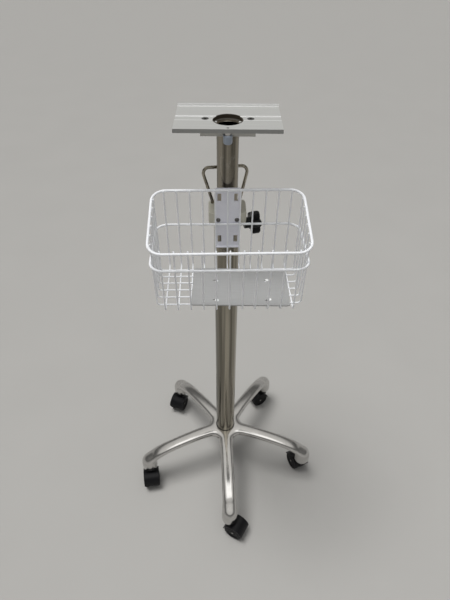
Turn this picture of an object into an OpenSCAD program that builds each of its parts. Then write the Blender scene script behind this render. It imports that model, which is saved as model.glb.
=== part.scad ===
// Rolling equipment stand: five-star base on twin-wheel casters, telescopic column with a
// clamp knob, wire basket, push handle and a device plate with a sprung latch pin.
// Millimetres, +Z up, front towards -Y. The origin is on the floor under the column's axis.

/* [Base] */
// Distance from the column's axis to each caster stem
stem_circle_r = 232.5; // [200:0.5:300]
// Turn of the front leg about the column, towards +X
base_turn = 3.4; // [-20:0.2:20]
// Height of the hub's rim above the floor
hub_top = 147; // [143:1:156]
// Height of the hub's lower face above the floor
hub_bottom = 112; // [106:1:116]
// Diameter of the rim round the column
hub_rim_d = 57; // [56:0.5:66]
// Diameter of the hub between the legs
hub_d = 66; // [62:1:74]
// Thickness of the hub floor under the column
hub_floor = 12; // [8:1:20]
// Width of a leg at the hub
leg_root_w = 50; // [40:1:54]
// Width of a leg at its narrowest
leg_waist_w = 35; // [28:0.5:38]
// Diameter of the round end of a leg
leg_end_d = 42; // [38:1:48]
// Height of a leg's section at the hub
leg_root_h = 20; // [16:0.5:26]
// Height of a leg's section at its narrowest
leg_waist_h = 14; // [10:0.5:16]
// Height of a leg's round end
leg_end_h = 44.5; // [40:0.5:52]
// Radius of the fillets between the legs
leg_fillet_r = 23; // [16:1:26]
// Depth of the stem holes in the leg ends
stem_hole_depth = 22; // [14:1:30]

/* [Casters] */
// Wheel diameter
wheel_d = 50; // [40:1:75]
// Width of one wheel
wheel_w = 14.5; // [11:0.5:20]
// Rounding of the tread's edges
tread_round = 4; // [1:0.5:6]
// Radius of the recess in a wheel's outer face
wheel_recess_r = 16; // [10:0.5:18]
// Depth of that recess
wheel_recess_depth = 1.6; // [0.5:0.1:3]
// Diameter of the axle
axle_d = 6; // [5:0.5:8]
// Distance from the stem to the axle
trail = 20; // [16:1:24]
// Diameter of the stem
stem_d = 8; // [6:0.5:10]
// Diameter of the stem's flange
stem_flange_d = 17; // [14:0.5:22]
// Thickness of the stem's flange
stem_flange_t = 3; // [2:0.5:4]
// Height of the leg ends' lower faces above the wheels
stem_rise = 10; // [8:0.5:14]
// Thickness of the web between the wheels
web_t = 13; // [12:0.5:16]
// Thickness of the hood over the wheels
hood_t = 2.6; // [1.5:0.1:4]
// Diameter of the boss round the stem
boss_d = 19; // [17:0.5:22]
// Trail direction of the front caster
front_caster_turn = -30; // [-180:5:180]
// Trail direction of the right caster
right_caster_turn = 115; // [-180:5:180]
// Trail direction of the back right caster
back_right_caster_turn = -150; // [-180:5:180]
// Trail direction of the back left caster
back_left_caster_turn = -110; // [-180:5:180]
// Trail direction of the left caster
left_caster_turn = -80; // [-180:5:180]

/* [Column] */
// Outside diameter of the fixed lower tube
lower_tube_d = 50; // [48:0.5:52]
// Wall of the lower tube
lower_tube_wall = 2; // [1.5:0.1:3]
// Height of the lower tube's upper end above the floor
lower_tube_top = 843; // [780:1:900]
// Outside diameter of the sliding upper tube
upper_tube_d = 38; // [34:0.5:40]
// Wall of the upper tube
upper_tube_wall = 1.5; // [1:0.1:2.5]
// Height of the upper tube's foot above the floor
upper_tube_foot = 520; // [420:1:620]
// Length of the guide bush on the upper tube's foot
foot_bush_l = 40; // [20:1:60]
// Length of the plug in the lower tube's foot
column_plug_l = 24; // [16:1:40]
// Diameter of the bolt that holds the column
column_bolt_d = 10; // [8:0.5:12]
// Thickness of the washer under the hub
column_washer_t = 3; // [2:0.5:4]
// Outside diameter of that washer
column_washer_d = 26; // [22:1:34]

/* [Collar and clamp] */
// Turn of the collar, bracket, basket and handle about the column
fittings_turn = 2; // [-5:0.1:5]
// Width of the collar
collar_w = 70; // [66:0.5:84]
// Height of the collar above the lower tube
collar_h = 24; // [20:0.5:32]
// Rounding of the collar's upright edges
collar_round = 9; // [3:0.5:12]
// Length of the collar's spigot inside the lower tube
spigot_l = 36; // [28:1:60]
// Gap between the knob's hub and the collar above it
hub_gap = 8; // [0.5:0.5:12]
// Turn of the clamp screw about the column
clamp_angle = 15; // [0:1:20]
// Diameter of the clamp stud
stud_d = 8; // [6:0.5:10]
// Distance from the column's axis to the knob's hub
knob_x = 34; // [33:0.5:40]
// Diameter of the knob's hub
knob_hub_d = 21; // [18:0.5:26]
// Length of the knob's hub
knob_hub_l = 13; // [8:0.5:16]
// Diameter of the knob's head over its lobes
knob_d = 46; // [40:1:52]
// Length of the knob's head
knob_l = 18; // [14:1:28]
// Number of the knob's lobes
knob_lobes = 5; // [4:1:8]
// Diameter of one lobe
lobe_d = 15; // [12:0.5:18]

/* [Handle] */
// Diameter of the handle's rod
handle_rod_d = 6; // [4:0.5:8]
// Half the distance between the handle's feet
handle_foot_x = 26; // [22:0.5:28]
// Distance of the feet behind the column's axis
handle_foot_y = 15; // [8:0.5:18]
// Half the width of the handle's top
handle_top_x = 43.5; // [32:0.5:56]
// Distance of the top bar behind the column's axis
handle_top_y = 32; // [26:0.5:70]
// Height of the top bar above the collar
handle_rise = 63; // [40:1:80]
// Bend radius of the top corners
handle_bend_r = 10; // [8:0.5:14]
// Turn of the handle about the column
handle_turn = 6; // [-8:0.5:8]

/* [Basket] */
// Outside width of the basket's rim
basket_w = 268.5; // [255:0.5:290]
// Distance of the rim's front from the column's axis
basket_front = 171.2; // [167:0.2:190]
// Height of the rim's back above the collar
rim_rise = 48.8; // [41:0.2:73]
// How far the rim's front lies below its back
rim_drop = 35; // [10:0.2:45]
// Distance of the lower hoop below the rim's back
hoop_drop = 68.8; // [65.8:0.2:85.8]
// Distance of the floor wires below the rim's back
basket_depth = 159.6; // [145.8:0.2:180.8]
// Diameter of the rim's wire
rim_d = 4.8; // [4:0.1:6]
// Diameter of the lower hoop's wire
hoop_d = 4.2; // [3.4:0.1:4.6]
// Diameter of the mesh wires
wire_d = 2.8; // [2:0.1:3.2]
// Corner radius of the rim and of the lower hoop
rim_corner_r = 24; // [18:1:30]
// Wires from back to front
long_wires = 11; // [7:2:11]
// Distance of the outermost of these wires from the side wires
long_margin = 16.05; // [10:0.05:30]
// Wires from side to side
cross_wires = 6; // [4:1:6]
// Distance of the foremost of these wires from the front wires
cross_margin = 14.3; // [12:0.1:30]
// Bend radius of the wires at the floor
wire_bend_r = 6; // [4:0.5:6]
// How far the wires stand above the rim's middle
wire_over = 3.4; // [2.6:0.1:5]
// Depth by which crossing wires are fused
weld_depth = 0.4; // [0.2:0.1:0.8]

/* [Bracket] */
// Width of the basket's bracket
bracket_w = 44; // [40:1:60]
// Height of the bracket
bracket_h = 123.2; // [108.2:0.2:158.2]
// Thickness of the bracket
bracket_t = 2; // [1.5:0.1:3]
// Depth of the fold along the lower edge
bracket_lip = 4; // [2:0.1:4.4]
// Width of a bracket slot
slot_w = 7; // [4:0.5:9]
// Height of a bracket slot
slot_h = 15; // [8:0.5:18]
// Half the distance between the slots
slot_x = 15; // [12:0.5:16]
// Distance of the slots from the bracket's ends
slot_inset = 18; // [14:0.5:22]
// Half the distance between the bracket's screws
bracket_screw_x = 17.2; // [12:0.2:17.4]
// Diameter of the bracket's screws
bracket_screw_d = 5; // [4:0.5:6]

/* [Device plate] */
// Height of the plate's upper face above the collar
plate_rise = 160; // [143:1:233]
// Width of the plate
plate_w = 175; // [150:1:220]
// Distance of the plate's front edge from the column's axis
plate_front = 41; // [40:1:60]
// Distance of the plate's back edge from the column's axis
plate_back = 66; // [50:1:90]
// Thickness of the plate
plate_t = 6.5; // [5:0.5:10]
// Height of the lip along the back edge
plate_lip_h = 3.5; // [2:0.5:8]
// Thickness of that lip
plate_lip_t = 5; // [3:0.5:8]
// Distance of the channel's middle behind the column's axis
channel_y = 6.8; // [0:0.2:12]
// Width of the channel
channel_w = 18; // [14:0.5:24]
// Depth of the channel
channel_depth = 1; // [0.5:0.1:2]
// Diameter of the hole over the column
plate_hole_d = 50; // [46:0.5:54]
// Width of the flange under the plate
flange_w = 89; // [84:1:120]
// Distance of the flange's front from the column's axis
flange_front = 27; // [25:0.5:27]
// Distance of the flange's back from the column's axis
flange_back = 40; // [28:1:48]
// Thickness of the flange
flange_t = 10.5; // [8:0.5:16]
// Depth of the recess round the tube's end
flange_recess = 2.5; // [2:0.1:4]
// Half the distance between the plate's screws
plate_screw_x = 37.5; // [34:0.5:38]
// Diameter of the plate's screws
plate_screw_d = 6; // [5:0.5:6]
// Distance of the small tube screws from the column's axis
tube_screw_r = 21.8; // [21.6:0.1:22]
// Head diameter of the small tube screws
tube_screw_head_d = 4; // [3:0.1:4.2]

/* [Latch] */
// Distance of the latch pin from the column's axis
latch_y = 35; // [34.8:0.1:35.2]
// Diameter of the latch pin
latch_pin_d = 5; // [4:0.1:5]
// Outside diameter of the latch's barrel
latch_barrel_d = 10; // [9.6:0.1:10.4]
// Length of the barrel under the plate
latch_barrel_l = 14.5; // [14:0.5:18]
// Diameter of the pull knob
latch_knob_d = 15; // [14.4:0.1:15]
// Length of the pull knob
latch_knob_l = 15; // [14:0.5:18]
// Travel of the latch
latch_travel = 4; // [2:0.5:4]

/* [Adapter plate] */
// Width of the loose adapter plate
adapter_w = 175; // [150:1:184]
// Depth of the loose adapter plate
adapter_l = 104; // [80:1:110]
// Thickness of the adapter plate
adapter_t = 2.5; // [1.5:0.1:4]
// Place of the adapter plate's middle, to the right of the column's axis
adapter_x = 25; // [0:0.5:26]
// Distance of the adapter plate's front edge from the front wires
adapter_gap = 6.6; // [6.4:0.1:12]
// Corner radius of the adapter plate
adapter_round = 5; // [3:0.5:10]
// Distance between its holes, left to right
adapter_hole_x = 94; // [70:1:120]
// Distance between its holes, front to back
adapter_hole_y = 54; // [40:1:62]
// Place of the hole pattern's middle, in front of the plate's middle
adapter_hole_shift = 12; // [0:0.5:14]
// Diameter of its holes
adapter_hole_d = 4.6; // [3:0.1:6]

/* [Clearances] */
// Radial clearance of turning and sliding fits
run_clear = 0.06; // [0.03:0.01:0.09]
// Radial clearance of fixed fits
fit_clear = 0.03; // [0.02:0.01:0.06]
// Gap between moving faces
face_gap = 0.5; // [0.4:0.1:0.8]

/* [Hidden] */
$fn = 48;
leg_count = 5;
wire_sides = 8;
handle_sides = 12;
bend_steps = 5;
arch_steps = 14;
leg_stations = 16;
// Cuts run past the faces they open by this much
past = 1;
// Pieces of one solid reach into each other by this much
sink = 1;

LEGS = ["front", "right", "back_right", "back_left", "left"];
CASTER_TURNS = [
    front_caster_turn,
    right_caster_turn,
    back_right_caster_turn,
    back_left_caster_turn,
    left_caster_turn
];
function leg_turn(k) = -90 + base_turn + 360 / leg_count * k;

// Heights along the column
socket_z = wheel_d + stem_rise;
tube_seat_z = hub_bottom + hub_floor;
lower_tube_bore_d = lower_tube_d - 2 * lower_tube_wall;
collar_top = lower_tube_top + collar_h;
stud_z = lower_tube_top - knob_hub_d / 2 - hub_gap;
plate_top = collar_top + plate_rise;
flange_top = plate_top - plate_t;
flange_bottom = flange_top - flange_t;
upper_tube_top = flange_top - flange_recess;

// Hub and legs
hub_chamfer = 3;
hub_shoulder_h = 20;
hub_neck_h = 8;
hub_neck_w = 2;
hub_rim_h = 2;
arch_power = 0.72;
leg_droop = 2;
leg_tip_droop = 12;
leg_tip_drop = 15;
leg_root_flare = 5;
leg_end_flare = 3;
leg_spread = 1.5;
leg_rise = 1.5;
leg_cap_h = 27;
leg_inner_h = 20;
leg_start_in = 4;
leg_start_r = hub_rim_d / 2 - leg_start_in;
leg_root_top = hub_top + leg_rise;
leg_end_top = socket_z + leg_end_h - sink;
leg_sag = leg_root_top - leg_end_top - leg_tip_drop;
fillet_middle_r = (leg_waist_w / 2 + leg_fillet_r) / sin(180 / leg_count);
web_out_r = fillet_middle_r * cos(180 / leg_count);
web_bottom = leg_root_top - leg_waist_h - leg_rise;
web_edge_h = 8;
web_h = 12;
web_step = 3;

// Casters
stem_end_gap = 1;
stem_over_axle = 6;
stem_bottom = wheel_d / 2 + axle_d / 2 + stem_over_axle;
web_in = 4;
web_r = wheel_d / 2 - web_in;
web_gap = web_t / 2 + face_gap;
wheel_out = web_gap + wheel_w;
hood_in_r = wheel_d / 2 + face_gap;
hood_out_r = hood_in_r + hood_t;
hood_rim_up = 3;
hood_rim_z = wheel_d / 2 + hood_rim_up;
boss_sink = 4;
boss_bottom = wheel_d - boss_sink;
boss_top = socket_z - stem_flange_t - face_gap;
recess_slope = 1;
tread_steps = 4;

// Bolt under the column
plug_d = lower_tube_bore_d - 2 * fit_clear;
bolt_head_h = 6.5;
bolt_af = 17;
bolt_end_gap = 4;
hole_over = 1;
bolt_hole_d = column_bolt_d + hole_over;

// Collar, handle and clamp
collar_half_l = lower_tube_d / 2 + face_gap;
screw_grip = 6;
screw_end_gap = 1;
handle_seat = 12;
handle_hole_d = handle_rod_d / cos(180 / handle_sides) + 2 * fit_clear;
handle_straight = 4;
stud_hole_d = stud_d + hole_over;
tip_x = upper_tube_d / 2 + face_gap;
tip_l = 2.5;
tip_under = 1;
tip_d = stud_d - tip_under;
stud_seat = 12;
lobe_step = 2;
lobe_circle = (knob_d - lobe_d) / 2;
knob_valley = 1.5;
knob_core_r = lobe_circle - knob_valley;
knob_end_in = 2;

// Bracket
rim_back_z = collar_top + rim_rise;
bracket_front = collar_half_l + bracket_t;
bracket_top = rim_back_z + rim_d / 2;
bracket_bottom = bracket_top - bracket_h;
bracket_screw_drop = 1;
bracket_screw_z = lower_tube_top + collar_h / 2 - bracket_screw_drop;
bracket_head_h = 2.6;
screw_head_ratio = 1.7;
bracket_head_d = screw_head_ratio * bracket_screw_d;

// Heights of the basket's wires
hoop_z = rim_back_z - hoop_drop;
basket_floor_z = rim_back_z - basket_depth;

// Lines of the basket: middles of wires, seen from above
rim_half_w = basket_w / 2 - rim_d / 2;
rim_front = basket_front - rim_d / 2;
rim_back = bracket_front + rim_d / 2;
rim_slope = atan(rim_drop / (rim_front - rim_back));
rim_inset = (rim_d + wire_d) / 2;
hoop_inset = (hoop_d + wire_d) / 2;
wire_half_w = rim_half_w - rim_inset;
wire_front = rim_front - rim_inset;
wire_back = rim_back + rim_inset;
hoop_half_w = wire_half_w + hoop_inset;
hoop_front = wire_front + hoop_inset;
hoop_back = wire_back - hoop_inset;
long_pitch = 2 * (wire_half_w - long_margin) / (long_wires - 1);
cross_pitch = (wire_front - wire_back - cross_margin) / cross_wires;
cross_z = basket_floor_z + wire_d - weld_depth;
adapter_lift = 0.05;
adapter_z = cross_z + wire_d / 2 + adapter_lift;

// Wires lie inside the round corners of the rim and of the hoop
function corner_in(over, r) = over > 0 ? r - sqrt(r * r - over * over) : 0;
function corner_both(rim_over, hoop_over) = max(
    corner_in(rim_over, rim_corner_r - rim_inset),
    corner_in(hoop_over, rim_corner_r - hoop_inset)
);
function long_x(i) = (i - (long_wires - 1) / 2) * long_pitch;
function long_in(i) =
    let (over = abs(long_x(i)) + rim_corner_r)
    corner_both(over - rim_half_w, over - hoop_half_w);
function cross_y(i) = wire_back + (i + 1) * cross_pitch;
function cross_in(i) =
    let (
        y = cross_y(i),
        rim_over = max(y - rim_front, rim_back - y) / cos(rim_slope) + rim_corner_r,
        hoop_over = max(y - hoop_front, hoop_back - y) + rim_corner_r
    )
    corner_both(rim_over, hoop_over);
function rim_z(y) = rim_back_z - (y - rim_back) * tan(rim_slope);

// Plate screws
tube_screw_d = 2.4;
tube_screw_l = 6;
tube_screw_gap = 0.5;
tube_screw_head_drop = 0.1;
tube_screw_head_h = flange_recess - tube_screw_head_drop;
tube_screw_turn = 24;
channel_floor = plate_top - channel_depth;
recess_over = 1;
recess_d = plate_hole_d + recess_over;
sink_h = 3;
sink_d = 2 * plate_screw_d;
plate_screw_gap = 0.5;
hex_socket_af = 4;
hex_socket_h = 2;

// Latch heights, from the plate down
barrel_bottom = flange_top - latch_barrel_l;
barrel_floor = 2;
spring_bottom = barrel_bottom + barrel_floor;
spring_l = 6.5;
spring_wall = 1.2;
pin_collar_t = 2;
barrel_walls = 3;
pin_collar_d = latch_barrel_d - barrel_walls;
pin_collar_z = spring_bottom + spring_l;
spring_play = 0.4;
spring_d = pin_collar_d - spring_play;
pin_stem_d = 3;
pin_below = 0.5;
thread_step = 2;
latch_thread_d = latch_barrel_d - thread_step;
thread_end_gap = 1.5;
latch_thread_l = plate_t - thread_end_gap;
latch_knob_drop = 5;
latch_knob_bottom = barrel_bottom - latch_knob_drop;
latch_knob_floor = 3;
latch_knob_base = 3;
latch_knob_chamfer = 0.9;
latch_knob_edge = 1;

// Shared shapes

function unit(v) = v / norm(v);

function path_dir(p, i) =
    i == 0 ? unit(p[1] - p[0])
    : i == len(p) - 1 ? unit(p[i] - p[i - 1])
    : unit(unit(p[i] - p[i - 1]) + unit(p[i + 1] - p[i]));

// One ring of a bar: n points round the middle c, square to the direction d
function bar_ring(c, d, r, n, up) =
    let (side = unit(cross(d, up)), top = cross(side, d))
    [for (k = [0:n - 1]) c + r * (cos(360 * (k + 0.5) / n) * side + sin(360 * (k + 0.5) / n) * top)];

// Faces that join a row of rings with n points each and close both ends
function loft_faces(rings, n) = concat(
    [[for (k = [n - 1:-1:0]) k]],
    [for (i = [0:rings - 2]) for (k = [0:n - 1])
        [i * n + k, i * n + (k + 1) % n, (i + 1) * n + (k + 1) % n]],
    [for (i = [0:rings - 2]) for (k = [0:n - 1])
        [i * n + k, (i + 1) * n + (k + 1) % n, (i + 1) * n + k]],
    [[for (k = [0:n - 1]) (rings - 1) * n + k]]
);

// A value rounded to hundredths
function fine(x) = round(x * 100) / 100;

// Bar with n flat sides at the distance d / 2 from a line of points
module bar(points, d, up, n) {
    corner_r = d / 2 / cos(180 / n);
    rings = [for (i = [0:len(points) - 1]) bar_ring(points[i], path_dir(points, i), corner_r, n, up)];
    polyhedron(points = [for (ring = rings) each ring], faces = loft_faces(len(points), n), convexity = 6);
}

// Points of a bend at corner b between a and c, with radius r
function bend(a, b, c, r, steps) =
    let (
        u = unit(a - b),
        v = unit(c - b),
        half = acos(u * v) / 2,
        middle = b + unit(u + v) * r / sin(half),
        start = b + u * r / tan(half) - middle,
        turn = 180 - 2 * half
    )
    [for (i = [0:steps]) middle + start * cos(turn * i / steps) - u * r * sin(turn * i / steps)];

module tube(d, wall, z0, z1) {
    translate([0, 0, z0])
    difference() {
        cylinder(d = d, h = z1 - z0);
        translate([0, 0, -past])
        cylinder(d = d - 2 * wall, h = z1 - z0 + 2 * past);
    }
}

// Flat outline with round corners, middle at the origin
module round_rect(w, l, r) {
    square([w - 2 * r, l], center = true);
    square([w, l - 2 * r], center = true);
    for (x = [-1, 1], y = [-1, 1])
        translate([x * (w / 2 - r), y * (l / 2 - r)])
        circle(r = r);
}

// Rod along +X from x0 to x1
module rod_x(d, x0, x1) {
    translate([x0, 0, 0])
    rotate([0, 90, 0])
    cylinder(d = d, h = x1 - x0);
}

// Rod along +Y from y0 to y1
module rod_y(d, y0, y1) {
    translate([0, y0, 0])
    rotate([-90, 0, 0])
    cylinder(d = d, h = y1 - y0);
}

// Closed wire hoop with round corners: half width, front and back of its middle line
module hoop(half_w, front, back, r, d) {
    for (side = [-1, 1]) {
        translate([side * half_w, 0, 0])
        rod_y(d, -front + r, -back - r);
        translate([side * (half_w - r), -front + r, 0])
        rotate([0, 0, side > 0 ? -90 : 180])
        rotate_extrude(angle = 90)
        translate([r, 0])
        circle(d = d);
        translate([side * (half_w - r), -back - r, 0])
        rotate([0, 0, side > 0 ? 0 : 90])
        rotate_extrude(angle = 90)
        translate([r, 0])
        circle(d = d);
    }
    for (y = [-front, -back])
        translate([0, y, 0])
        rod_x(d, -half_w + r, half_w - r);
}

module turned() {
    rotate([0, 0, fittings_turn])
    children();
}

module at_clamp() {
    rotate([0, 0, clamp_angle])
    translate([0, 0, stud_z])
    children();
}

// Base

// Section of a leg: an arch of width w and height h, as [across, up] points
function arch(w, h) = [
    for (i = [0:arch_steps])
    let (t = 180 * (1 - i / arch_steps))
    [w / 2 * sign(round(cos(t) * 1000)) * pow(abs(cos(t)), arch_power), h * pow(sin(t), arch_power)]
];
function leg_t(i) = pow(i / (leg_stations - 1), leg_spread);
// A size along a leg that narrows from its root to the middle and grows towards its end
function leg_size(t, root, waist, end) =
    t < 0.5
    ? waist + (root - waist) * pow(1 - 2 * t, leg_root_flare)
    : waist + (end - waist) * pow(2 * t - 1, leg_end_flare);
function leg_w(t) = leg_size(t, leg_root_w, leg_waist_w, leg_end_d - sink);
function leg_h(t) = leg_size(t, leg_root_h, leg_waist_h, leg_inner_h);
function leg_top(t) = leg_root_top - leg_sag * pow(t, leg_droop) - leg_tip_drop * pow(t, leg_tip_droop);

module leg() {
    points = [
        for (i = [0:leg_stations - 1])
        let (
            t = leg_t(i),
            r = leg_start_r + (stem_circle_r - leg_start_r) * t,
            base_z = leg_top(t) - leg_h(t)
        )
        for (p = arch(leg_w(t), leg_h(t))) [r, p[0], base_z + p[1]]
    ];
    polyhedron(points = points, faces = loft_faces(leg_stations, arch_steps + 1), convexity = 4);
}

module leg_end() {
    shaft_h = leg_end_h - leg_cap_h;
    cap = [for (p = arch(leg_end_d, leg_cap_h)) if (p[0] > 0) [p[0], shaft_h + p[1]]];
    translate([stem_circle_r, 0, socket_z])
    rotate_extrude()
    polygon(concat([[0, 0], [0, leg_end_h]], cap, [[leg_end_d / 2, 0]]));
}

// Web that rounds the corners between the legs, its edge set back by inset
module leg_web(inset, h) {
    translate([0, 0, web_bottom])
    linear_extrude(h)
    difference() {
        circle(r = web_out_r);
        for (k = [0:leg_count - 1])
            rotate(leg_turn(k) + 180 / leg_count)
            translate([fillet_middle_r, 0])
            circle(r = leg_fillet_r + inset);
    }
}

module star_base() {
    color("Gainsboro")
    difference() {
        union() {
            rotate_extrude()
            polygon([
                [0, hub_bottom],
                [hub_d / 2 - hub_chamfer, hub_bottom],
                [hub_d / 2, hub_bottom + hub_chamfer],
                [hub_d / 2, hub_top - hub_shoulder_h],
                [hub_rim_d / 2 + hub_neck_w, hub_top - hub_neck_h],
                [hub_rim_d / 2, hub_top - hub_rim_h],
                [hub_rim_d / 2, hub_top],
                [0, hub_top]
            ]);
            leg_web(0, web_edge_h);
            leg_web(web_step, web_h);
            for (k = [0:leg_count - 1])
                rotate([0, 0, leg_turn(k)]) {
                    leg();
                    leg_end();
                }
        }
        translate([0, 0, tube_seat_z])
        cylinder(d = lower_tube_d + 2 * fit_clear, h = hub_top);
        cylinder(d = bolt_hole_d, h = hub_top);
        for (k = [0:leg_count - 1])
            rotate([0, 0, leg_turn(k)])
            translate([stem_circle_r, 0, socket_z - past])
            cylinder(d = stem_d + 2 * fit_clear, h = stem_hole_depth + past);
    }
}

module caster_stems() {
    color("Silver")
    for (k = [0:leg_count - 1])
        rotate([0, 0, leg_turn(k)])
        translate([stem_circle_r, 0, 0]) {
            translate([0, 0, stem_bottom])
            cylinder(d = stem_d, h = socket_z + stem_hole_depth - stem_end_gap - stem_bottom);
            translate([0, 0, socket_z - stem_flange_t])
            cylinder(d = stem_flange_d, h = stem_flange_t);
        }
}

// Casters: drawn at the origin with the stem on Z and the trail along +X

module caster_place(k) {
    rotate([0, 0, leg_turn(k)])
    translate([stem_circle_r, 0, 0])
    rotate([0, 0, CASTER_TURNS[k] - leg_turn(k)])
    children();
}

module at_axle() {
    translate([trail, 0, wheel_d / 2])
    children();
}

module caster_hood(k) {
    color([0.09, 0.09, 0.1])
    caster_place(k)
    difference() {
        union() {
            intersection() {
                at_axle()
                rod_y(2 * hood_out_r, -wheel_out, wheel_out);
                translate([trail - hood_out_r, -wheel_out - past, hood_rim_z])
                cube([2 * hood_out_r, 2 * (wheel_out + past), hood_out_r]);
            }
            at_axle()
            rod_y(2 * web_r, -web_t / 2, web_t / 2);
            translate([-boss_d / 2, -web_t / 2, hood_rim_z])
            cube([trail, web_t, boss_top - hood_rim_z]);
            translate([0, 0, boss_bottom])
            cylinder(d = boss_d, h = boss_top - boss_bottom);
        }
        for (side = [-1, 1])
            at_axle()
            mirror([0, side > 0 ? 0 : 1, 0])
            rod_y(2 * hood_in_r, web_t / 2, wheel_out + past);
        at_axle()
        rod_y(axle_d + 2 * fit_clear, -web_t, web_t);
        translate([0, 0, stem_bottom - face_gap])
        cylinder(d = stem_d + 2 * run_clear, h = wheel_d);
    }
}

module caster_axle(k) {
    color("Silver")
    caster_place(k)
    at_axle()
    rod_y(axle_d, -wheel_out + wheel_recess_depth, wheel_out - wheel_recess_depth);
}

module caster_wheel(k, side) {
    r = wheel_d / 2;
    bore = axle_d / 2 + run_clear;
    edge = [
        for (i = [0:tread_steps])
        let (t = 90 * i / tread_steps)
        [r - tread_round * (1 - cos(t)), tread_round * (1 - sin(t))]
    ];
    color([0.06, 0.06, 0.065])
    caster_place(k)
    at_axle()
    rotate([side > 0 ? -90 : 90, 0, 0])
    translate([0, 0, web_gap])
    rotate_extrude()
    polygon(concat(
        [[bore, 0]],
        [for (i = [tread_steps:-1:0]) edge[i]],
        [for (i = [0:tread_steps]) [edge[i][0], wheel_w - edge[i][1]]],
        [
            [wheel_recess_r, wheel_w],
            [wheel_recess_r - recess_slope, wheel_w - wheel_recess_depth],
            [bore, wheel_w - wheel_recess_depth]
        ]
    ));
}

// Column

module column_plug() {
    color("DimGray")
    tube(plug_d, (plug_d - column_bolt_d) / 2 - fit_clear, tube_seat_z, tube_seat_z + column_plug_l);
}

module column_bolt() {
    color("Gray")
    translate([0, 0, hub_bottom - column_washer_t]) {
        cylinder(d = column_bolt_d, h = column_washer_t + hub_floor + column_plug_l - bolt_end_gap);
        translate([0, 0, -bolt_head_h])
        cylinder(d = bolt_af / cos(30), h = bolt_head_h, $fn = 6);
    }
}

module column_washer() {
    color("Silver")
    tube(
        column_washer_d,
        (column_washer_d - bolt_hole_d) / 2,
        hub_bottom - column_washer_t,
        hub_bottom
    );
}

module lower_tube() {
    color([0.72, 0.7, 0.66])
    difference() {
        tube(lower_tube_d, lower_tube_wall, tube_seat_z, lower_tube_top);
        at_clamp()
        rod_x(stud_hole_d, 0, lower_tube_d);
    }
}

module lock_collar() {
    color([0.66, 0.65, 0.6])
    turned()
    difference() {
        union() {
            translate([0, 0, lower_tube_top])
            linear_extrude(collar_h)
            round_rect(collar_w, 2 * collar_half_l, collar_round);
            translate([0, 0, lower_tube_top - spigot_l])
            cylinder(d = plug_d, h = spigot_l + sink);
        }
        translate([0, 0, lower_tube_top - spigot_l - past])
        cylinder(d = upper_tube_d + 2 * run_clear, h = spigot_l + collar_h + 2 * past);
        rotate([0, 0, -fittings_turn])
        at_clamp()
        rod_x(stud_d + 2 * run_clear, 0, lower_tube_d);
        for (x = [-1, 1])
            translate([x * bracket_screw_x, 0, bracket_screw_z])
            rod_y(bracket_screw_d + 2 * fit_clear, -collar_half_l - past, -collar_half_l + screw_grip);
        rotate([0, 0, handle_turn])
        for (x = [-1, 1])
            translate([x * handle_foot_x, handle_foot_y, collar_top - handle_seat])
            cylinder(d = handle_hole_d, h = handle_seat + past);
    }
}

// Clamp

module clamp_tip() {
    color("WhiteSmoke")
    at_clamp()
    rod_x(tip_d, tip_x, tip_x + tip_l);
}

module clamp_stud() {
    color("Silver")
    at_clamp()
    rod_x(stud_d, tip_x + tip_l, knob_x + stud_seat);
}

// Outline of the knob's head, one lobe upwards once it is stood along +X
module knob_outline() {
    circle(r = knob_core_r);
    for (k = [0:knob_lobes - 1])
        rotate(360 * k / knob_lobes)
        translate([-lobe_circle, 0])
        circle(d = lobe_d);
}

module clamp_knob() {
    head_x = knob_x + knob_hub_l;
    lobe_end = head_x + knob_l - lobe_step;
    color([0.05, 0.05, 0.055])
    at_clamp()
    difference() {
        union() {
            rod_x(knob_hub_d, knob_x, head_x + sink);
            translate([head_x, 0, 0])
            rotate([0, 90, 0])
            linear_extrude(lobe_end - head_x)
            knob_outline();
            rod_x(2 * (knob_core_r - knob_end_in), lobe_end - sink, head_x + knob_l);
        }
        rod_x(stud_d + 2 * fit_clear, knob_x - past, knob_x + stud_seat);
    }
}

// Handle

module push_handle() {
    foot_l = [-handle_foot_x, handle_foot_y, collar_top - handle_seat];
    turn_l = [-handle_foot_x, handle_foot_y, collar_top + handle_straight];
    top_l = [-handle_top_x, handle_top_y, collar_top + handle_rise];
    top_r = [handle_top_x, handle_top_y, collar_top + handle_rise];
    turn_r = [handle_foot_x, handle_foot_y, collar_top + handle_straight];
    foot_r = [handle_foot_x, handle_foot_y, collar_top - handle_seat];
    color([0.7, 0.67, 0.62])
    turned()
    rotate([0, 0, handle_turn])
    bar(
        concat(
            [foot_l],
            bend(foot_l, turn_l, top_l, handle_bend_r, bend_steps),
            bend(turn_l, top_l, top_r, handle_bend_r, bend_steps),
            bend(top_l, top_r, turn_r, handle_bend_r, bend_steps),
            bend(top_r, turn_r, foot_r, handle_bend_r, bend_steps),
            [foot_r]
        ),
        handle_rod_d,
        [0, 1, 0],
        handle_sides
    );
}

// Basket

module basket_bracket() {
    color("White")
    turned()
    difference() {
        union() {
            translate([-bracket_w / 2, -bracket_front, bracket_bottom])
            cube([bracket_w, bracket_t, bracket_top - bracket_bottom]);
            translate([-bracket_w / 2, -bracket_front - bracket_lip, bracket_bottom])
            cube([bracket_w, bracket_lip + bracket_t, bracket_t]);
        }
        for (x = [-1, 1]) {
            for (z = [bracket_bottom + slot_inset, bracket_top - slot_inset])
                translate([x * slot_x - slot_w / 2, -bracket_front - past, z - slot_h / 2])
                cube([slot_w, bracket_t + 2 * past, slot_h]);
            translate([x * bracket_screw_x, 0, bracket_screw_z])
            rod_y(bracket_screw_d + 2 * fit_clear, -bracket_front - past, -collar_half_l + past);
        }
    }
}

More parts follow.
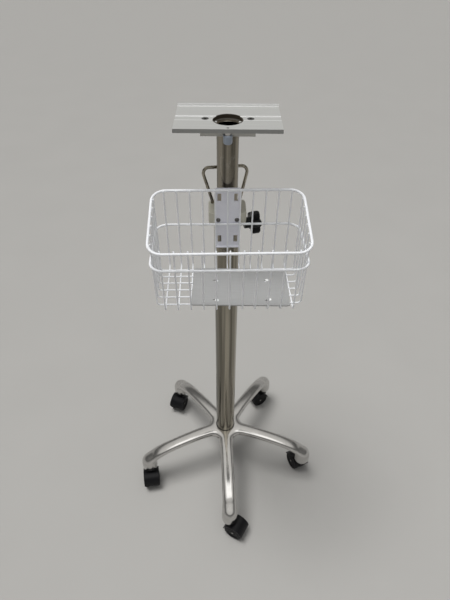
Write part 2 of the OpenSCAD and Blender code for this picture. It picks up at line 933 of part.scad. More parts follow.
module bracket_screws() {
    color("Silver")
    turned()
    for (x = [-1, 1])
        translate([x * bracket_screw_x, 0, bracket_screw_z]) {
            rod_y(bracket_screw_d, -bracket_front, -collar_half_l + screw_grip - screw_end_gap);
            rod_y(bracket_head_d, -bracket_front - bracket_head_h, -bracket_front);
        }
}

module basket_rim() {
    length = (rim_front - rim_back) / cos(rim_slope);
    color("White")
    turned()
    translate([0, -rim_back, rim_back_z])
    rotate([rim_slope, 0, 0])
    hoop(fine(rim_half_w), fine(length), 0, rim_corner_r, rim_d);
}

module basket_hoop() {
    color("White")
    turned()
    translate([0, 0, hoop_z])
    hoop(fine(hoop_half_w), fine(hoop_front), fine(hoop_back), rim_corner_r, hoop_d);
}

module floor_wire(length) {
    rotate([0, 90, 0])
    rotate([0, 0, 180 / wire_sides])
    cylinder(d = wire_d / cos(180 / wire_sides), h = length, $fn = wire_sides);
}

module basket_floor() {
    color("White")
    turned() {
        for (i = [0:long_wires - 1]) {
            front = wire_front - long_in(i) - wire_bend_r;
            back = wire_back + long_in(i) + wire_bend_r;
            translate([long_x(i), -front, basket_floor_z])
            rotate([0, 0, 90])
            floor_wire(front - back);
        }
        for (i = [0:cross_wires - 1]) {
            half_w = wire_half_w - cross_in(i) - wire_bend_r;
            translate([-half_w, -cross_y(i), cross_z])
            floor_wire(2 * half_w);
        }
    }
}

// Wire from the basket's floor up a wall: foot of the wall, direction along the floor, end
module wall_wire(foot, inward, top_z, up) {
    top = [foot[0], foot[1], top_z];
    bar(
        concat(bend(foot + inward * wire_bend_r, foot, top, wire_bend_r, bend_steps), [top]),
        wire_d,
        up,
        wire_sides
    );
}

module basket_front_wires() {
    color("White")
    turned()
    for (i = [0:long_wires - 1]) {
        y = wire_front - long_in(i);
        wall_wire([long_x(i), -y, basket_floor_z], [0, 1, 0], rim_z(rim_front) + wire_over, [1, 0, 0]);
    }
}

module basket_back_wires() {
    color("White")
    turned()
    for (i = [0:long_wires - 1]) {
        y = wire_back + long_in(i);
        wall_wire([long_x(i), -y, basket_floor_z], [0, -1, 0], rim_z(y) + wire_over, [1, 0, 0]);
    }
}

module basket_side_wires() {
    color("White")
    turned()
    for (side = [-1, 1], i = [0:cross_wires - 1]) {
        x = side * (wire_half_w - cross_in(i));
        y = cross_y(i);
        wall_wire([x, -y, cross_z], [-side, 0, 0], rim_z(y) + wire_over, [0, 1, 0]);
    }
}

module adapter_plate() {
    color("Silver")
    translate([adapter_x, -wire_front + adapter_gap + adapter_l / 2, adapter_z])
    difference() {
        linear_extrude(adapter_t)
        round_rect(adapter_w, adapter_l, adapter_round);
        for (x = [-1, 1], y = [-1, 1])
            translate([x * adapter_hole_x / 2, y * adapter_hole_y / 2 - adapter_hole_shift, -past])
            cylinder(d = adapter_hole_d, h = adapter_t + 2 * past);
    }
}

// Mast

module foot_bush() {
    bush_d = lower_tube_bore_d - 2 * run_clear;
    color("WhiteSmoke")
    tube(
        bush_d,
        (bush_d - upper_tube_d) / 2 - run_clear,
        upper_tube_foot,
        upper_tube_foot + foot_bush_l
    );
}

module upper_tube() {
    color([0.72, 0.7, 0.66])
    tube(upper_tube_d, upper_tube_wall, upper_tube_foot, upper_tube_top);
}

// Places of the two small screws beside the tube's end
module at_tube_screws() {
    for (a = [tube_screw_turn, 180 - tube_screw_turn])
        rotate([0, 0, a])
        translate([tube_screw_r, 0, upper_tube_top])
        children();
}

module plate_flange() {
    color("Silver")
    difference() {
        translate([-flange_w / 2, -flange_front, flange_bottom])
        cube([flange_w, flange_front + flange_back, flange_t]);
        translate([0, 0, flange_bottom - past])
        cylinder(d = upper_tube_d + 2 * fit_clear, h = flange_t + 2 * past);
        translate([0, 0, upper_tube_top])
        cylinder(d = recess_d, h = flange_recess + past);
        at_tube_screws()
        translate([0, 0, -tube_screw_l])
        cylinder(d = tube_screw_d + 2 * fit_clear, h = tube_screw_l + past);
        for (x = [-1, 1])
            translate([x * plate_screw_x, channel_y, flange_bottom - past])
            cylinder(d = plate_screw_d + 2 * fit_clear, h = flange_t + 2 * past);
    }
}

module tube_screws() {
    color("Gainsboro")
    at_tube_screws() {
        translate([0, 0, -tube_screw_l + tube_screw_gap])
        cylinder(d = tube_screw_d, h = tube_screw_l);
        cylinder(d = tube_screw_head_d, h = tube_screw_head_h);
    }
}

module device_plate() {
    plate_l = plate_front + plate_back;
    color([0.75, 0.75, 0.73])
    difference() {
        union() {
            translate([-plate_w / 2, -plate_front, flange_top])
            cube([plate_w, plate_l, plate_t]);
            translate([-plate_w / 2, plate_back - plate_lip_t, flange_top])
            cube([plate_w, plate_lip_t, plate_t + plate_lip_h]);
        }
        translate([-plate_w / 2 - past, channel_y - channel_w / 2, channel_floor])
        cube([plate_w + 2 * past, channel_w, channel_depth + past]);
        translate([0, 0, flange_top - past])
        cylinder(d = plate_hole_d, h = plate_t + 2 * past);
        for (x = [-1, 1])
            translate([x * plate_screw_x, channel_y, 0]) {
                translate([0, 0, flange_top - past])
                cylinder(d = plate_screw_d + 2 * fit_clear, h = plate_t + 2 * past);
                translate([0, 0, channel_floor - sink_h])
                cylinder(d1 = plate_screw_d + 2 * fit_clear, d2 = sink_d + 2 * fit_clear, h = sink_h);
            }
        translate([0, -latch_y, flange_top - past])
        cylinder(d = latch_thread_d + 2 * fit_clear, h = latch_thread_l + past);
        translate([0, -latch_y, flange_top])
        cylinder(d = latch_pin_d + 2 * run_clear, h = plate_t + past);
    }
}

module plate_screws() {
    color("DarkGray")
    for (x = [-1, 1])
        translate([x * plate_screw_x, channel_y, 0])
        difference() {
            union() {
                translate([0, 0, flange_bottom + plate_screw_gap])
                cylinder(d = plate_screw_d, h = channel_floor - flange_bottom - plate_screw_gap);
                translate([0, 0, channel_floor - sink_h])
                cylinder(d1 = plate_screw_d, d2 = sink_d, h = sink_h);
            }
            translate([0, 0, channel_floor - hex_socket_h])
            cylinder(d = hex_socket_af / cos(30), h = hex_socket_h + past, $fn = 6);
        }
}

// Latch

module at_latch() {
    translate([0, -latch_y, 0])
    children();
}

module latch_barrel() {
    color("Silver")
    at_latch()
    difference() {
        union() {
            translate([0, 0, barrel_bottom])
            cylinder(d = latch_barrel_d, h = latch_barrel_l);
            translate([0, 0, flange_top - sink])
            cylinder(d = latch_thread_d, h = latch_thread_l + sink);
        }
        translate([0, 0, spring_bottom])
        cylinder(d = pin_collar_d + 2 * run_clear, h = spring_l + pin_collar_t + face_gap);
        translate([0, 0, barrel_bottom - past])
        cylinder(d = pin_stem_d + 2 * run_clear, h = barrel_floor + 2 * past);
        translate([0, 0, spring_bottom])
        cylinder(d = latch_pin_d + 2 * run_clear, h = latch_barrel_l + plate_t);
    }
}

module latch_spring() {
    color("LightSteelBlue")
    at_latch()
    tube(spring_d, spring_wall, spring_bottom, spring_bottom + spring_l);
}

module latch_pin() {
    stem_z = latch_knob_bottom + latch_knob_floor;
    color("Gray")
    at_latch() {
        translate([0, 0, pin_collar_z])
        cylinder(d = pin_collar_d, h = pin_collar_t);
        translate([0, 0, pin_collar_z + sink])
        cylinder(d = latch_pin_d, h = plate_top - pin_below - pin_collar_z - sink);
        translate([0, 0, stem_z])
        cylinder(d = pin_stem_d, h = pin_collar_z + sink - stem_z);
    }
}

module latch_knob() {
    r = latch_knob_d / 2;
    color("DarkGray")
    at_latch()
    translate([0, 0, latch_knob_bottom])
    difference() {
        rotate_extrude()
        polygon([
            [0, 0],
            [r - latch_knob_base, 0],
            [r - latch_knob_chamfer, latch_knob_chamfer],
            [r, latch_knob_base],
            [r, latch_knob_l - latch_knob_edge],
            [r - latch_knob_edge, latch_knob_l],
            [0, latch_knob_l]
        ]);
        translate([0, 0, latch_knob_floor])
        cylinder(d = latch_barrel_d + 2 * face_gap, h = latch_knob_l);
    }
}

star_base();
caster_stems();
for (k = [0:leg_count - 1]) {
    caster_hood(k);
    caster_axle(k);
    caster_wheel(k, 1);
    caster_wheel(k, -1);
}
column_plug();
column_bolt();
column_washer();
lower_tube();
lock_collar();
clamp_tip();
clamp_stud();
clamp_knob();
push_handle();
basket_bracket();
bracket_screws();
basket_rim();
basket_hoop();
basket_floor();
basket_front_wires();
basket_back_wires();
basket_side_wires();
adapter_plate();
foot_bush();
upper_tube();
plate_flange();
tube_screws();
device_plate();
plate_screws();
latch_barrel();
latch_spring();
latch_pin();
latch_knob();
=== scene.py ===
import math

import bmesh
import bpy
from bpy.props import FloatProperty, FloatVectorProperty, IntProperty, PointerProperty
from mathutils import Matrix, Vector


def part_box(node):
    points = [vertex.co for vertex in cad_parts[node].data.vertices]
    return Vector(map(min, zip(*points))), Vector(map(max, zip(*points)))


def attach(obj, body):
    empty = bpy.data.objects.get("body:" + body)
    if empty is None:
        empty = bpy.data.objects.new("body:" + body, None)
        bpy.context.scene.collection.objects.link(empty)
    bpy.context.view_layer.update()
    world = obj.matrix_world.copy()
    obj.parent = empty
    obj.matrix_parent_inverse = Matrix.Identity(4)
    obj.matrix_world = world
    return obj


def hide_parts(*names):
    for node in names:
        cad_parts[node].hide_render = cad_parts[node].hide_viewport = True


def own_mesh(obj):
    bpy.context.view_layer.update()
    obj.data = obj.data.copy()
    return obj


bl_info = {
    "name": "Rolling equipment stand",
    "version": (1, 0, 0),
    "blender": (4, 5, 0),
    "location": "3D View > Sidebar > Stand",
    "description": "Dresses the solid frame of a rolling equipment stand with finished pieces",
    "category": "Object",
}

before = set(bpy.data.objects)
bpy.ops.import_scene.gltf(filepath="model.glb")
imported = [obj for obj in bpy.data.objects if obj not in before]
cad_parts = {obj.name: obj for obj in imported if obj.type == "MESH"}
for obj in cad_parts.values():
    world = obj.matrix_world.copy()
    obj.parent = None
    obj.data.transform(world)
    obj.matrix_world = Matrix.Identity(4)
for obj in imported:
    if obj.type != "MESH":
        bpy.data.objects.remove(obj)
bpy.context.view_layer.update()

LEGS = ("front", "right", "back_right", "back_left", "left")
MM = 0.001
RUN_CLEAR = 0.06 * MM
FIT_CLEAR = 0.03 * MM


# Property makers


def length(name, description, mm):
    return FloatProperty(
        name=name, description=description, default=mm * MM, min=0.0, precision=4, unit="LENGTH"
    )


def turn(name, description, degrees):
    return FloatProperty(
        name=name, description=description, default=math.radians(degrees), subtype="ANGLE"
    )


def number(name, description, count, least):
    return IntProperty(name=name, description=description, default=count, min=least)


def colour(name, description, rgb):
    return FloatVectorProperty(
        name=name, description=description, default=rgb, size=3, min=0.0, max=1.0, subtype="COLOR"
    )


class StandBaseSizes(bpy.types.PropertyGroup):
    """Sizes of the five-leg base."""

    stem_circle: length("Stem circle", "Distance from the column's axis to each caster stem", 232.5)
    leg_turn: turn("Leg turn", "Direction of the front leg", -86.6)
    hub_top: length("Hub top", "Height of the hub's rim", 147.0)
    hub_bottom: length("Hub bottom", "Height of the hub's lower face", 112.0)
    hub_width: length("Hub width", "Diameter of the hub between the legs", 66.0)
    rim_width: length("Rim width", "Diameter of the rim round the column", 57.0)
    seat: length("Tube seat", "Height of the column's foot in the hub", 124.0)
    leg_start: length("Leg start", "Distance from the axis at which a leg begins", 24.5)
    root_width: length("Root width", "Width of a leg at the hub", 50.0)
    waist_width: length("Waist width", "Width of a leg at its narrowest", 35.0)
    end_width: length("End width", "Diameter of a leg's round end", 42.0)
    crest_rise: length("Crest rise", "How far a leg's top begins above the hub's rim", 1.5)
    tip_drop: length("Tip drop", "How far a leg's top bends down at its end", 15.0)
    tip_height: length("Tip height", "Height of a leg's section at its end", 20.0)
    root_height: length("Root height", "Height of a leg's section at the hub", 20.0)
    waist_height: length("Waist height", "Height of a leg's section at its narrowest", 14.0)
    end_bottom: length("End bottom", "Height of the round ends' lower faces", 60.0)
    end_height: length("End height", "Height of a round end", 44.5)
    cap_height: length("Cap height", "Height of the domed part of a round end", 27.0)
    cell: length("Cell", "Cell of the casting's surface", 1.4)
    fillet: length("Fillet", "Radius of the fillets between the legs", 23.0)
    fillet_reach: length("Fillet reach", "How far from the axis the legs flow into the hub", 62.0)
    brow_start: length("Brow start", "How far before a stem a leg's top runs straight", 32.5)
    brow_end: length("Brow end", "How far past a stem the straight run goes", 11.5)
    end_reach: length("End reach", "How far from a stem a leg flows into its round end", 52.0)
    seam: length("Seam", "Width of the gap round the column's foot", 1.6)


class StandCasterSizes(bpy.types.PropertyGroup):
    """Sizes of the twin-wheel casters."""

    wheel: length("Wheel", "Wheel diameter", 50.0)
    width: length("Width", "Width of one wheel", 14.5)
    bore: length("Bore", "Radius of a wheel's bore", 3.06)
    tread_round: length("Tread rounding", "Rounding of the tread's edges", 4.0)
    inner_gap: length("Inner gap", "Distance of a wheel from the caster's middle plane", 7.0)
    recess: length("Recess", "Radius of the recess in a wheel's outer face", 16.0)
    trail: length("Trail", "Distance from the stem to the axle", 20.0)
    front_turn: turn("Front trail", "Trail direction of the front caster", -30.0)
    right_turn: turn("Right trail", "Trail direction of the right caster", 115.0)
    back_right_turn: turn("Back right trail", "Trail direction of the back right caster", -150.0)
    back_left_turn: turn("Back left trail", "Trail direction of the back left caster", -110.0)
    left_turn: turn("Left trail", "Trail direction of the left caster", -80.0)


class StandColumnSizes(bpy.types.PropertyGroup):
    """Sizes of the column, collar, clamp and handle."""

    lower_width: length("Lower tube", "Outside diameter of the fixed tube", 50.0)
    lower_wall: length("Lower wall", "Wall of the fixed tube", 2.0)
    lower_top: length("Lower tube top", "Height of the fixed tube's upper end", 843.0)
    upper_width: length("Upper tube", "Outside diameter of the sliding tube", 38.0)
    upper_wall: length("Upper wall", "Wall of the sliding tube", 1.5)
    upper_foot: length("Upper tube foot", "Height of the sliding tube's foot", 520.0)
    upper_top: length("Upper tube top", "Height of the sliding tube's upper end", 1018.0)
    fittings_turn: turn("Fittings turn", "Turn of collar, bracket and basket", 2.0)
    clamp_turn: turn("Clamp turn", "Turn of the clamp screw about the column", 15.0)
    collar_width: length("Collar width", "Width of the collar", 70.0)
    collar_depth: length("Collar depth", "Depth of the collar", 51.0)
    collar_height: length("Collar height", "Height of the collar", 24.0)
    collar_corner: length("Collar corner", "Rounding of the collar's upright edges", 9.0)
    collar_edge: length("Collar edge", "Rounding of the collar's other edges", 2.2)
    spigot: length("Spigot", "Length of the collar's spigot in the tube", 36.0)
    stud_drop: length("Stud drop", "Distance of the clamp stud below the collar", 18.5)
    stud_width: length("Stud", "Diameter of the clamp stud", 8.0)
    stud_start: length("Stud start", "Distance of the stud's inner end from the axis", 22.0)
    stud_end: length("Stud end", "Distance of the stud's outer end from the axis", 46.0)
    stud_pitch: length("Stud pitch", "Pitch of the stud's thread", 1.5)
    knob_start: length("Knob start", "Distance from the axis to the knob's hub", 34.0)
    knob_hub: length("Knob hub", "Diameter of the knob's hub", 21.0)
    knob_hub_length: length("Knob hub length", "Length of the knob's hub", 13.0)
    knob_length: length("Knob length", "Length of the knob's head", 18.0)
    knob_width: length("Knob width", "Diameter of the knob over its lobes", 46.0)
    knob_lobe: length("Knob lobe", "Diameter of one lobe", 15.0)
    knob_core: length("Knob core", "Radius of the knob between its lobes", 14.0)
    knob_lobes: number("Lobes", "Number of the knob's lobes", 5, 3)
    handle_turn: turn("Handle turn", "Turn of the handle about the column", 8.0)
    handle_rod: length("Handle rod", "Diameter of the handle's rod", 6.0)
    handle_bend: length("Handle bend", "Bend radius of the handle", 10.0)
    handle_foot_x: length("Handle foot across", "Half distance between the handle's feet", 26.0)
    handle_foot_y: length("Handle foot back", "Distance of the feet behind the axis", 15.0)
    handle_seat: length("Handle seat", "How deep the feet stand in the collar", 12.0)
    handle_straight: length("Handle straight", "Straight length of the feet above the collar", 4.0)
    handle_top_x: length("Handle top across", "Half width of the handle's top", 43.5)
    handle_top_y: length("Handle top back", "Distance of the handle's top behind the axis", 32.0)
    handle_rise: length("Handle rise", "Height of the handle's top above the collar", 63.0)


class StandBasketSizes(bpy.types.PropertyGroup):
    """Sizes of the wire basket and its bracket."""

    rim_wire: length("Rim wire", "Diameter of the rim's wire", 4.8)
    rim_half: length("Rim half width", "Half width of the rim's middle line", 131.85)
    rim_back: length("Rim back", "Distance of the rim's back from the axis", 29.9)
    rim_front: length("Rim front", "Distance of the rim's front from the axis", 168.8)
    rim_back_z: length("Rim back height", "Height of the rim's back", 915.8)
    rim_drop: length("Rim drop", "How far the rim's front lies below its back", 35.0)
    corner: length("Corner", "Corner radius of rim and hoop", 24.0)
    hoop_wire: length("Hoop wire", "Diameter of the lower hoop's wire", 4.2)
    hoop_half: length("Hoop half width", "Half width of the hoop's middle line", 131.55)
    hoop_back: length("Hoop back", "Distance of the hoop's back from the axis", 30.2)
    hoop_front: length("Hoop front", "Distance of the hoop's front from the axis", 168.5)
    hoop_z: length("Hoop height", "Height of the lower hoop", 847.0)
    wire: length("Mesh wire", "Diameter of the mesh wires", 2.8)
    wire_half: length("Wire half width", "Half width between the side wires", 128.05)
    wire_back: length("Wire back", "Distance of the back wires from the axis", 33.7)
    wire_front: length("Wire front", "Distance of the front wires from the axis", 165.0)
    wire_over: length("Wire ends", "How far the wires stand above the rim's middle", 3.4)
    long_count: number("Long wires", "Wires from back to front", 11, 3)
    long_pitch: length("Long pitch", "Distance between the long wires", 22.4)
    cross_count: number("Cross wires", "Wires from side to side", 6, 2)
    cross_pitch: length("Cross pitch", "Distance between the cross wires", 19.5)
    floor_z: length("Floor height", "Height of the long floor wires", 756.2)
    cross_z: length("Cross height", "Height of the cross floor wires", 758.6)
    bend: length("Wire bend", "Bend radius of the wires at the floor", 6.0)
    screw_x: length("Screw across", "Half distance between the bracket's screws", 17.2)
    screw_y: length("Screw front", "Distance of the screws' heads before the axis", 27.5)
    screw_z: length("Screw height", "Height of the bracket's screws", 854.0)


class StandPlateSizes(bpy.types.PropertyGroup):
    """Sizes of the painted highlights and shade on the device plate and the loose plate."""

    bore: length("Bore", "Radius of the dark bore", 25.4)
    # Half width of the painted highlight strips.
    mark: length("Mark", "Half width of a bright edge", 1.2)
    channel_front: length("Channel front", "Distance of its front edge before the axis", 2.2)
    channel_back: length("Channel back", "Distance of its back edge behind the axis", 15.8)
    back_edge: length("Back edge", "Distance of the raised edge's foot behind the axis", 60.6)
    front: length("Front", "Distance of the front face before the axis", 40.4)
    # Radius of the painted glints round the loose plate's holes.
    rim_glint_radius: length("Hole rim", "Radius of the bright rims of the loose plate's holes", 3.3)
    hole_x: length("Holes across", "Distance of the holes' middle to the right of the axis", 25.0)
    hole_y: length("Holes front", "Distance of the holes' middle before the axis", 118.4)
    hole_half_x: length("Half across", "Half distance between the holes across", 47.0)
    hole_half_y: length("Half deep", "Half distance between the holes front to back", 27.0)


class StandFinishes(bpy.types.PropertyGroup):
    """Colours of the finishes."""

    base: colour("Base", "Polished base", (0.57, 0.56, 0.545))
    # Painted reflection: the tube and mast are darkened, brownish copies of polished steel,
    # standing in for the dark room they reflect; the mast is the darker copy.
    tube: colour("Tube", "Polished stainless tube", (0.28, 0.258, 0.212))
    mast: colour("Mast", "Polished sliding tube", (0.20, 0.182, 0.15))
    steel: colour("Steel", "Plain steel parts", (0.55, 0.54, 0.52))
    black: colour("Black", "Black plastic", (0.005, 0.005, 0.006))
    tyre: colour("Tyre", "Wheel treads", (0.005, 0.005, 0.006))
    collar: colour("Collar", "Grey collar", (0.58, 0.56, 0.47))
    powder: colour("Powder", "White powder coat", (0.90, 0.91, 0.93))
    bracket: colour("Bracket", "White bracket", (0.86, 0.86, 0.92))
    sheet: colour("Sheet", "Grey adapter sheet", (0.39, 0.39, 0.385))
    plate: colour("Plate", "Satin aluminium plate", (0.53, 0.53, 0.51))
    flange: colour("Flange", "Flange block", (0.47, 0.46, 0.43))
    # Painted shade: dark brown laid inside the plate's hole and on the flange's recess floor,
    # standing in for the shade down the bore.
    bore: colour("Bore", "Dark inside of the plate's hole", (0.085, 0.07, 0.05))
    # Painted highlights: near-white strips on the channel's edges and on the raised edge's front
    # face, and painted glints on the loose plate's hole rims.
    edge: colour("Edge", "Bright edges of channel and holes", (0.95, 0.95, 0.94))
    # Painted shade: the plate's front face is a darker copy of the plate's aluminium, for the shade
    # that falls on it.
    front: colour("Front", "Front face of the plate", (0.30, 0.30, 0.29))
    # Painted reflection: the steel screw heads are darkened, standing in for the dark floor they
    # reflect.
    screw: colour("Screw", "Dark screw heads", (0.16, 0.155, 0.15))
    # Painted shade: the plate screws are near black, standing in for the shade in the rims of their
    # countersinks.
    countersunk: colour("Countersunk", "Dark countersunk screws", (0.07, 0.07, 0.065))
    # Painted highlight: the tube screws are near white, standing in for the glints on them.
    bright: colour("Bright", "Bright small screws", (0.92, 0.92, 0.90))
    latch: colour("Latch", "Latch knob", (0.29, 0.33, 0.39))
    bush: colour("Bush", "White plastic", (0.75, 0.75, 0.73))
    floor: colour("Floor", "Studio floor", (0.43, 0.42, 0.40))


# Mesh makers


def new_object(name, mesh):
    obj = bpy.data.objects.new(name, mesh)
    bpy.context.scene.collection.objects.link(obj)
    return obj


def mesh_object(name, verts, faces):
    mesh = bpy.data.meshes.new(name)
    mesh.from_pydata([tuple(v) for v in verts], [], faces)
    bm = bmesh.new()
    bm.from_mesh(mesh)
    bmesh.ops.recalc_face_normals(bm, faces=bm.faces)
    bm.to_mesh(mesh)
    bm.free()
    return new_object(name, mesh)


def quarter(steps):
    """Angles of a quarter turn."""
    return [math.pi / 2 * i / steps for i in range(steps + 1)]


def lathe(profile, turns=96, closed=False):
    """Points and faces of a line of (radius, height) points spun about Z."""
    verts, rings, faces = [], [], []
    for r, z in profile:
        first = len(verts)
        if r < 1e-7:
            verts.append(Vector((0.0, 0.0, z)))
            rings.append([first])
            continue
        for k in range(turns):
            a = 2.0 * math.pi * k / turns
            verts.append(Vector((r * math.cos(a), r * math.sin(a), z)))
        rings.append(list(range(first, first + turns)))
    pairs = list(zip(rings, rings[1:]))
    if closed:
        pairs.append((rings[-1], rings[0]))
    for low, high in pairs:
        for k in range(turns):
            j = (k + 1) % turns
            quad = [low[k % len(low)], low[j % len(low)], high[j % len(high)], high[k % len(high)]]
            face = list(dict.fromkeys(quad))
            if len(face) > 2:
                faces.append(face)
    return verts, faces


def loft(rings, closed=False):
    """Points and faces that join rings of equal length, capped at both ends or closed to a loop."""
    n = len(rings[0])
    verts = [Vector(p) for ring in rings for p in ring]
    faces = []
    count = len(rings) if closed else len(rings) - 1
    for i in range(count):
        j = (i + 1) % len(rings)
        for k in range(n):
            m = (k + 1) % n
            faces.append([i * n + k, i * n + m, j * n + m, j * n + k])
    if not closed:
        faces.append(list(range(n))[::-1])
        faces.append([(len(rings) - 1) * n + k for k in range(n)])
    return verts, faces


def round_rect(width, depth, r, steps=8):
    """Outline with round corners about the origin."""
    points = []
    for sx, sy, start in ((1, 1, 0), (-1, 1, 90), (-1, -1, 180), (1, -1, 270)):
        x, y = sx * (width / 2 - r), sy * (depth / 2 - r)
        for i in range(steps + 1):
            a = math.radians(start + 90.0 * i / steps)
            points.append((x + r * math.cos(a), y + r * math.sin(a)))
    return points


def rounded(corners, r, steps=8, closed=False):
    """Path through corners, each one rounded to the radius r."""
    points = [Vector(c) for c in corners]
    path = []
    for i, b in enumerate(points):
        if not closed and i in (0, len(points) - 1):
            path.append(b)
            continue
        u = (points[i - 1] - b).normalized()
        v = (points[(i + 1) % len(points)] - b).normalized()
        half = u.angle(v) / 2.0
        middle = b + (u + v).normalized() * (r / math.sin(half))
        start = b + u * (r / math.tan(half)) - middle
        sweep = math.pi - 2.0 * half
        for s in range(steps + 1):
            a = sweep * s / steps
            path.append(middle + start * math.cos(a) - u * (r * math.sin(a)))
    return path


def place(geometry, matrix):
    verts, faces = geometry
    return [matrix @ Vector(v) for v in verts], faces


def joined(*parts):
    verts, faces = [], []
    for v, f in parts:
        first = len(verts)
        verts += v
        faces += [[first + i for i in face] for face in f]
    return verts, faces


def discard(obj):
    mesh = obj.data
    bpy.data.objects.remove(obj)
    bpy.data.meshes.remove(mesh)


def bake(obj):
    """Replace an object's mesh by its finished form and drop its modifiers."""
    depsgraph = bpy.context.evaluated_depsgraph_get()
    mesh = bpy.data.meshes.new_from_object(obj.evaluated_get(depsgraph), depsgraph=depsgraph)
    old = obj.data
    obj.modifiers.clear()
    obj.data = mesh
    mesh.name = obj.name
    bpy.data.meshes.remove(old)
    return obj


def bevel(obj, width, segments=3, angle=40.0):
    mod = obj.modifiers.new("Edges", "BEVEL")
    mod.width = width
    mod.segments = segments
    mod.limit_method = "ANGLE"
    mod.angle_limit = math.radians(angle)
    mod.use_clamp_overlap = True
    mod.harden_normals = False
    return bake(obj)


def combine(obj, other, operation):
    mod = obj.modifiers.new("Combine", "BOOLEAN")
    mod.operation = operation
    mod.solver = "EXACT"
    mod.object = other
    bake(obj)
    discard(other)
    return obj


def shade(obj, angle=35.0):
    mesh = obj.data
    mesh.polygons.foreach_set("use_smooth", [True] * len(mesh.polygons))
    mesh.set_sharp_from_angle(angle=math.radians(angle))
    return obj


def flatten(obj):
    """Keep large flat faces flat beside their eased edges."""
    mod = obj.modifiers.new("Normals", "WEIGHTED_NORMAL")
    mod.keep_sharp = True
    return bake(obj)


def carry(obj, body, slot, material, *nodes):
    """Give a finished piece its material and its body, and hide the nodes it stands for."""
    obj.data.materials.clear()
    obj.data.materials.append(material)
    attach(obj, body)
    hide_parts(*nodes)
    return obj


def dressed(node, name, body, slot, material, edge=0.0, segments=2, angle=35.0):
    """A finished copy of a solid: merged, flat faces cleaned, edges eased, shaded smooth."""
    mesh = bpy.data.meshes.new(name)
    bm = bmesh.new()
    bm.from_mesh(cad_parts[node].data)
    bmesh.ops.remove_doubles(bm, verts=bm.verts, dist=2e-6)
    bmesh.ops.dissolve_limit(bm, angle_limit=math.radians(0.5), verts=bm.verts, edges=bm.edges)
    bmesh.ops.recalc_face_normals(bm, faces=bm.faces)
    for face in bm.faces:
        face.material_index = 0
    bm.to_mesh(mesh)
    bm.free()
    obj = new_object(name, mesh)
    if edge:
        bevel(obj, edge, segments)
    shade(obj, angle)
    flatten(obj)
    return carry(obj, body, slot, material, node)


# Node trees


def new_tree(name, inputs, output):
    """A geometry node tree with its sockets, and its first and last node."""
    tree = bpy.data.node_groups.new(name, "GeometryNodeTree")
    for socket, kind in inputs.items():
        tree.interface.new_socket(socket, in_out="INPUT", socket_type="NodeSocket" + kind)
    tree.interface.new_socket(output, in_out="OUTPUT", socket_type="NodeSocketGeometry")
    return tree, tree.nodes.new("NodeGroupInput"), tree.nodes.new("NodeGroupOutput")


def wire_tree():
    """Sweeps a round wire along every path of the mesh it is given, with round ends."""
    inputs = {"Paths": "Geometry", "Wire diameter": "Float", "Sides": "Int", "Finish": "Material"}
    tree, start, end = new_tree("Bent wire", inputs, "Wire")
    nodes, link = tree.nodes, tree.links.new
    half = nodes.new("ShaderNodeMath")
    half.operation = "MULTIPLY"
    half.inputs[1].default_value = 0.5
    paths = nodes.new("GeometryNodeMeshToCurve")
    circle = nodes.new("GeometryNodeCurvePrimitiveCircle")
    sweep = nodes.new("GeometryNodeCurveToMesh")
    sweep.inputs["Fill Caps"].default_value = True
    ends = nodes.new("GeometryNodeCurveEndpointSelection")
    tips = nodes.new("GeometryNodeInstanceOnPoints")
    ball = nodes.new("GeometryNodeMeshUVSphere")
    ball.inputs["Rings"].default_value = 8
    both = nodes.new("GeometryNodeJoinGeometry")
    real = nodes.new("GeometryNodeRealizeInstances")
    smooth = nodes.new("GeometryNodeSetShadeSmooth")
    finish = nodes.new("GeometryNodeSetMaterial")
    link(start.outputs["Wire diameter"], half.inputs[0])
    link(start.outputs["Paths"], paths.inputs["Mesh"])
    link(half.outputs[0], circle.inputs["Radius"])
    link(start.outputs["Sides"], circle.inputs["Resolution"])
    link(paths.outputs["Curve"], sweep.inputs["Curve"])
    link(circle.outputs["Curve"], sweep.inputs["Profile Curve"])
    link(half.outputs[0], ball.inputs["Radius"])
    link(start.outputs["Sides"], ball.inputs["Segments"])
    link(paths.outputs["Curve"], tips.inputs["Points"])
    link(ends.outputs["Selection"], tips.inputs["Selection"])
    link(ball.outputs["Mesh"], tips.inputs["Instance"])
    link(sweep.outputs["Mesh"], both.inputs["Geometry"])
    link(tips.outputs["Instances"], both.inputs["Geometry"])
    link(both.outputs["Geometry"], real.inputs["Geometry"])
    link(real.outputs["Geometry"], smooth.inputs["Geometry"])
    link(smooth.outputs["Geometry"], finish.inputs["Geometry"])
    link(start.outputs["Finish"], finish.inputs["Material"])
    link(finish.outputs["Geometry"], end.inputs["Wire"])
    return tree


def row_tree():
    """Sets one copy of an object at every point of the mesh it is given."""
    inputs = {"Places": "Geometry", "Screw": "Object", "Turn": "Rotation", "Finish": "Material"}
    tree, start, end = new_tree("Screw row", inputs, "Screws")
    nodes, link = tree.nodes, tree.links.new
    screw = nodes.new("GeometryNodeObjectInfo")
    copies = nodes.new("GeometryNodeInstanceOnPoints")
    real = nodes.new("GeometryNodeRealizeInstances")
    finish = nodes.new("GeometryNodeSetMaterial")
    link(start.outputs["Screw"], screw.inputs["Object"])
    link(start.outputs["Places"], copies.inputs["Points"])
    link(screw.outputs["Geometry"], copies.inputs["Instance"])
    link(start.outputs["Turn"], copies.inputs["Rotation"])
    link(copies.outputs["Instances"], real.inputs["Geometry"])
    link(real.outputs["Geometry"], finish.inputs["Geometry"])
    link(start.outputs["Finish"], finish.inputs["Material"])
    link(finish.outputs["Geometry"], end.inputs["Screws"])
    return tree


def tree_named(name, maker):
    return bpy.data.node_groups.get(name) or maker()


